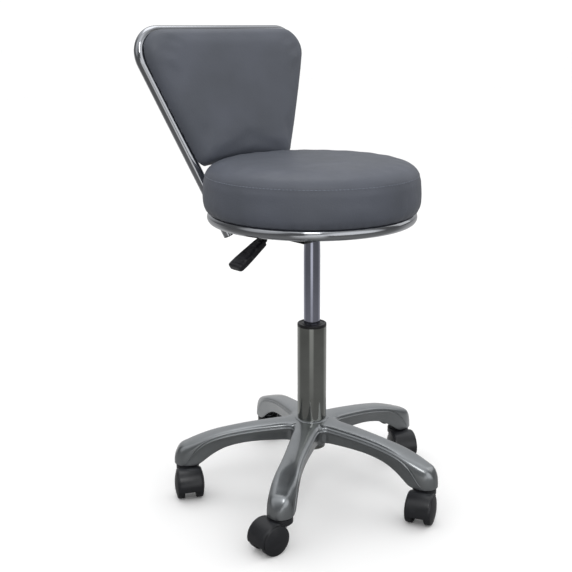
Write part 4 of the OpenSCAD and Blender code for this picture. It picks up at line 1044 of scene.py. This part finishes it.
def grow(bm, chain, points):
    """Extrudes a chain of edges and moves the new chain's points to their places."""
    edges = [bm.edges.get(pair) for pair in zip(chain, chain[1:])]
    made = bmesh.ops.extrude_edge_only(bm, edges=edges)["geom"]
    new = {g for g in made if isinstance(g, bmesh.types.BMVert)}
    ahead = [next(e.other_vert(v) for e in v.link_edges if e.other_vert(v) in new) for v in chain]
    for vert, point in zip(ahead, points):
        vert.co = point
    return ahead


def hub_arc(radius, height, shares):
    """Points at one height round a leg's half of the hub."""
    return [Vector((radius * math.cos(MITRE * s), radius * math.sin(MITRE * s), height))
            for s in shares]


def star_legs():
    """Five legs of one casting: half a leg is drawn out row by row, mirrored and turned."""
    bm = bmesh.new()
    sections = leg_sections()
    first = [bm.verts.new(p) for p in sections[0]]
    for pair in zip(first, first[1:]):
        bm.edges.new(pair)
    chain = first
    for section in sections[1:]:
        chain = grow(bm, chain, section)
    crown = first[:len(CROWN_STEPS)]
    ceiling = first[-3:]
    crown_shares = [share for share, _ in CROWN_STEPS]
    for radius, height in CROWN_RINGS:
        crown = grow(bm, crown, hub_arc(radius, FOOT_Z + LEG_RISE * height, crown_shares))
    for radius in CEILING_RINGS:
        ceiling = grow(bm, ceiling, hub_arc(radius, FOOT_Z + LEG_RISE * CEILING_TOP, (1, 0.5, 0)))
    half_leg = bm.verts[:] + bm.edges[:] + bm.faces[:]
    bmesh.ops.mirror(bm, geom=half_leg, axis="Y", merge_dist=0.000001)
    one_leg = bm.verts[:] + bm.edges[:] + bm.faces[:]
    for k in range(1, LEGS):
        copy = bmesh.ops.duplicate(bm, geom=one_leg)["geom"]
        verts = [g for g in copy if isinstance(g, bmesh.types.BMVert)]
        bmesh.ops.rotate(bm, verts=verts, matrix=Matrix.Rotation(2 * MITRE * k, 3, "Z"))
    bmesh.ops.remove_doubles(bm, verts=bm.verts, dist=SAME_POINT)
    open_edges = [e for e in bm.edges if e.is_boundary]
    bmesh.ops.bridge_loops(bm, edges=open_edges)
    bmesh.ops.dissolve_degenerate(bm, edges=bm.edges, dist=0.000005)
    bmesh.ops.recalc_face_normals(bm, faces=bm.faces)
    bmesh.ops.rotate(bm, verts=bm.verts, matrix=Matrix.Rotation(LEG_TURN, 3, "Z"))
    return bm


def star_hub():
    """The hub round the stand tube's foot, and the rib under each leg."""
    # Its section: the bore with its chamfer, then the rounded foot, the swell and the round rim
    profile = [Vector((HUB_BORE, HUB_TOP_Z)), Vector((HUB_BORE, HUB_Z + MM)),
               Vector((HUB_BORE + HUB_CHAMFER, HUB_Z))]
    profile += arc_points((HUB_LOW_RADIUS - HUB_FOOT_ROUND, HUB_Z + HUB_FOOT_ROUND),
                          HUB_FOOT_ROUND, -75, 0, 5)
    profile += [Vector((HUB_RADIUS, HUB_Z + 0.024)), Vector((HUB_RADIUS, HUB_TOP_Z - 0.0035))]
    profile += arc_points((HUB_RADIUS - HUB_RIM_ROUND, HUB_TOP_Z - 0.0034),
                          HUB_RIM_ROUND, 12, 72, 4)
    bm = spin_profile(profile, closed=True)
    rows = (RIB_START,) + LEG_ROWS[:-2]
    tops = [(CASTOR_CIRCLE * along, FOOT_Z + LEG_RISE * top - 1.1 * SHOULDER + MM)
            for along, _, top, _ in rows]
    lows = [(CASTOR_CIRCLE * along, FOOT_Z + (HUB_Z - FOOT_Z) * low + RIB_SET)
            for along, _, _, low in rows]
    for k in range(LEGS):
        outline = [bm.verts.new((x, -RIB_THICKNESS / 2, z)) for x, z in tops + lows[::-1]]
        face = bm.faces.new(outline)
        made = bmesh.ops.extrude_face_region(bm, geom=[face], use_keep_orig=True)["geom"]
        far = [g for g in made if isinstance(g, bmesh.types.BMVert)]
        bmesh.ops.translate(bm, verts=far, vec=(0, RIB_THICKNESS, 0))
        bmesh.ops.rotate(bm, verts=outline + far,
                         matrix=Matrix.Rotation(LEG_TURN + 2 * MITRE * k, 3, "Z"))
    bmesh.ops.recalc_face_normals(bm, faces=bm.faces)
    return bm


class STOOL_OT_star_base(bpy.types.Operator):
    """Five-legged die-cast base: legs with a grooved shoulder, hub and ribs"""

    bl_idname = "stool.star_base"
    bl_label = "Star base"

    def execute(self, context):
        colours = context.scene.stool_colours
        metal = polished_casting(colours)
        legs = to_piece(star_legs(), "star_legs", metal, "base")
        subdivide(legs, 2)
        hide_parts("star_base")
        hub = to_piece(star_hub(), "star_hub", metal, "base")
        soften(hub, FINE_EDGE, MOULD_TURN)
        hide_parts("star_base")
        finish_node("stem_sockets", moulded_bush())
        return {"FINISHED"}


class STOOL_OT_castors(bpy.types.Operator):
    """Five twin-wheel castors"""

    bl_idname = "stool.castors"
    bl_label = "Castors"

    def execute(self, context):
        colours = context.scene.stool_colours
        nylon = moulded_nylon(colours)
        zinc = zinc_plate()
        for k in CASTORS:
            finish_node(f"hood_{k}", nylon, SOFT_EDGE, MOULD_TURN)
            finish_node(f"wheel_left_{k}", nylon, FINE_EDGE, MOULD_TURN)
            finish_node(f"wheel_right_{k}", nylon, FINE_EDGE, MOULD_TURN)
            finish_node(f"stem_{k}", zinc)
            finish_node(f"axle_{k}", zinc)
        return {"FINISHED"}


# Stage

# The camera's place in metres and turn in degrees, as the photograph was taken
CAMERA_PLACE = (-1.11112, -1.19182, 0.80067)
CAMERA_TURN = (75.140, -0.037, -42.757)
CAMERA_SHIFT = (-0.0388, 0.0)
# The point that the lights face, the floor's radius and the top light's share of the key's power
LIT_POINT = Vector((0, 0, 0.4))
FLOOR_RADIUS = 30.0
TOP_LIGHT_SHARE = 0.6


def soft_light(name, place, size, power):
    """A rectangular white area light that faces the stool's middle."""
    data = bpy.data.lights.new(name, "AREA")
    data.shape = "RECTANGLE"
    data.size = size[0]
    data.size_y = size[1]
    data.energy = power
    light = bpy.data.objects.new(name, data)
    light.location = place
    light.rotation_euler = (LIT_POINT - Vector(place)).to_track_quat("-Z", "Y").to_euler()
    bpy.context.scene.collection.objects.link(light)


# Level directions from the camera to the stool, and to the right in the picture
AWAY = Vector((math.sin(math.radians(-CAMERA_TURN[2])), math.cos(math.radians(CAMERA_TURN[2])), 0))
RIGHT = Vector((AWAY.y, -AWAY.x, 0))

# Light patches in the room that the metal mirrors: degrees round from the camera to the right,
# degrees up, where it is full, where it ends, and its strength
ROOM_BASE = 0.13
ROOM_LIGHTS = ((45, 10, 18, 42, 0.95), (3, 2, 6, 14, 0.9), (-60, 30, 10, 32, 0.45),
               (180, 30, 15, 62, 0.42), (0, 90, 15, 60, 0.55), (0, 60, 6, 26, 0.3))


def patch(tree, direction, towards, low, high):
    """Number that is 1 in a round patch about a direction and 0 away from it, from two cosines."""
    facing = add_node(tree, "ShaderNodeVectorMath", {0: direction, 1: towards.normalized()},
                      operation="DOT_PRODUCT").outputs["Value"]
    return add_node(tree, "ShaderNodeMapRange",
                    {"Value": facing, "From Min": low, "From Max": high},
                    interpolation_type="SMOOTHSTEP").outputs["Result"]


def add_share(tree, number, factor, total):
    """The total with a factor of the number added to it."""
    return add_node(tree, "ShaderNodeMath", {0: number, 1: factor, 2: total},
                    operation="MULTIPLY_ADD").outputs["Value"]


def studio_world():
    """A white cove that lights the stool, and the darker room that its metal mirrors.

    The photograph's background is cut out to white, while its metal shows a dim room with windows
    to the right of the camera, a paler wall beyond the stool and a pale ceiling.
    """
    world = bpy.data.worlds.new("Studio")
    world.use_nodes = True
    tree = world.node_tree
    tree.nodes.clear()
    direction = add_node(tree, "ShaderNodeTexCoord").outputs["Generated"]
    strength = ROOM_BASE
    for around, up, full, end, bright in ROOM_LIGHTS:
        turn = math.radians(around)
        level = RIGHT * math.sin(turn) - AWAY * math.cos(turn)
        rise = math.radians(up)
        towards = level * math.cos(rise) + Vector((0, 0, math.sin(rise)))
        light = patch(tree, direction, towards,
                      math.cos(math.radians(end)), math.cos(math.radians(full)))
        strength = add_share(tree, light, bright, strength)
    room = add_node(tree, "ShaderNodeBackground",
                    {"Color": (0.97, 0.98, 1, 1), "Strength": strength})
    cove = add_node(tree, "ShaderNodeBackground", {"Color": (1, 1, 1, 1), "Strength": 1.08})
    mirrored = add_node(tree, "ShaderNodeLightPath").outputs["Is Glossy Ray"]
    mixed = add_node(tree, "ShaderNodeMixShader",
                     {0: mirrored, 1: cove.outputs["Background"], 2: room.outputs["Background"]})
    add_node(tree, "ShaderNodeOutputWorld", {"Surface": mixed.outputs["Shader"]})
    return world


def floor_paint(colours):
    # Matt studio floor paint: white where the camera looks. What the stool is lit by and
    # mirrors is the room's darker floor, with a pool of window light painted into its colour in
    # front.
    material, tree, coords = new_finish("Matt studio floor paint")
    mottle = noise_at(tree, coords, 400, 2)
    finished(material, {
        "Base Color": tone(tree, mottle, shade(colours.floor, 0.99), colours.floor),
        "Roughness": 0.9,
        "Specular IOR Level": 0.1})
    outwards = add_node(tree, "ShaderNodeVectorMath", {0: coords},
                        operation="NORMALIZE").outputs["Vector"]
    distance = add_node(tree, "ShaderNodeVectorMath", {0: coords},
                        operation="LENGTH").outputs["Value"]
    # Painted light: a pool of window light painted into the room floor's colour in front of the
    # stool, fading in from 0.35 m to 1.5 m away
    beam = patch(tree, outwards, RIGHT * -0.06 - AWAY, 0.93, 0.995)
    reach = add_node(tree, "ShaderNodeMapRange",
                     {"Value": distance, "From Min": 0.35, "From Max": 1.5}).outputs["Result"]
    painted_window_light = add_node(tree, "ShaderNodeMath", {0: beam, 1: reach},
                   operation="MULTIPLY").outputs["Value"]
    beyond = patch(tree, outwards, AWAY, 0.1, 0.7)
    pale = add_share(tree, reach, -0.08, 0.21)
    pale = add_share(tree, beyond, 0.25, pale)
    # Adds the painted pool of window light to the floor's grey
    pale = add_share(tree, painted_window_light, 0.6, pale)
    grey = add_node(tree, "ShaderNodeCombineColor",
                    {"Red": pale, "Green": pale, "Blue": pale}).outputs["Color"]
    room = add_node(tree, "ShaderNodeBsdfDiffuse", {"Color": grey})
    seen = add_node(tree, "ShaderNodeLightPath").outputs["Is Camera Ray"]
    paint = tree.nodes["Principled BSDF"]
    mixed = add_node(tree, "ShaderNodeMixShader",
                     {0: seen, 1: room.outputs["BSDF"], 2: paint.outputs["BSDF"]})
    tree.links.new(mixed.outputs["Shader"], tree.nodes["Material Output"].inputs["Surface"])
    return material


class STOOL_OT_stage(bpy.types.Operator):
    """Floor, studio lights and the camera"""

    bl_idname = "stool.stage"
    bl_label = "Stage"

    def execute(self, context):
        stage = context.scene.stool_stage
        colours = context.scene.stool_colours
        bm = bmesh.new()
        bmesh.ops.create_circle(bm, cap_ends=True, segments=SPIN_STEPS, radius=FLOOR_RADIUS)
        mesh = bpy.data.meshes.new("studio_floor")
        bm.to_mesh(mesh)
        bm.free()
        mesh.materials.append(floor_paint(colours))
        floor = bpy.data.objects.new("studio_floor", mesh)
        context.scene.collection.objects.link(floor)
        soft_light("key_light", (-1.5, -1.6, 2.6), (0.7, 1.3), stage.key_power)
        soft_light("fill_light", (2.2, -0.6, 1.6), (1.2, 1.6), stage.fill_power)
        soft_light("top_light", (0.4, 0.6, 2.6), (1.4, 1.4), stage.key_power * TOP_LIGHT_SHARE)
        context.scene.world = studio_world()
        context.scene.view_settings.view_transform = "Standard"
        data = bpy.data.cameras.new("photo_camera")
        data.lens = stage.lens
        data.sensor_width = 36
        data.shift_x, data.shift_y = CAMERA_SHIFT
        data.clip_start = 0.05
        data.clip_end = 50
        camera = bpy.data.objects.new("photo_camera", data)
        camera.location = CAMERA_PLACE
        camera.rotation_euler = [math.radians(a) for a in CAMERA_TURN]
        context.scene.collection.objects.link(camera)
        context.scene.camera = camera
        return {"FINISHED"}


class STOOL_PT_panel(bpy.types.Panel):
    """Lists the stool's pieces and settings"""

    bl_label = "Examination stool"
    bl_idname = "STOOL_PT_panel"
    bl_space_type = "VIEW_3D"
    bl_region_type = "UI"
    bl_category = "Stool"

    def draw(self, context):
        scene = context.scene
        for operator in OPERATORS:
            self.layout.operator(operator.bl_idname)
        for settings in (scene.stool_cushions, scene.stool_colours, scene.stool_stage):
            box = self.layout.box()
            for name in settings.__annotations__:
                box.prop(settings, name)


GROUPS = {"stool_cushions": StoolCushions, "stool_colours": StoolColours, "stool_stage": StoolStage}
OPERATORS = (STOOL_OT_stage, STOOL_OT_seat_cushion, STOOL_OT_back_cushion, STOOL_OT_tube_frame,
             STOOL_OT_gas_lift, STOOL_OT_lever, STOOL_OT_star_base, STOOL_OT_castors)


def register():
    for cls in (*GROUPS.values(), *OPERATORS, STOOL_PT_panel):
        bpy.utils.register_class(cls)
    for name, group in GROUPS.items():
        setattr(bpy.types.Scene, name, bpy.props.PointerProperty(type=group))


def unregister():
    for name in GROUPS:
        delattr(bpy.types.Scene, name)
    for cls in (STOOL_PT_panel, *reversed(OPERATORS), *GROUPS.values()):
        bpy.utils.unregister_class(cls)


def main():
    register()
    bpy.ops.stool.stage()
    bpy.ops.stool.seat_cushion()
    bpy.ops.stool.back_cushion()
    bpy.ops.stool.tube_frame()
    bpy.ops.stool.gas_lift()
    bpy.ops.stool.lever()
    bpy.ops.stool.star_base()
    bpy.ops.stool.castors()


if __name__ == "__main__":
    main()
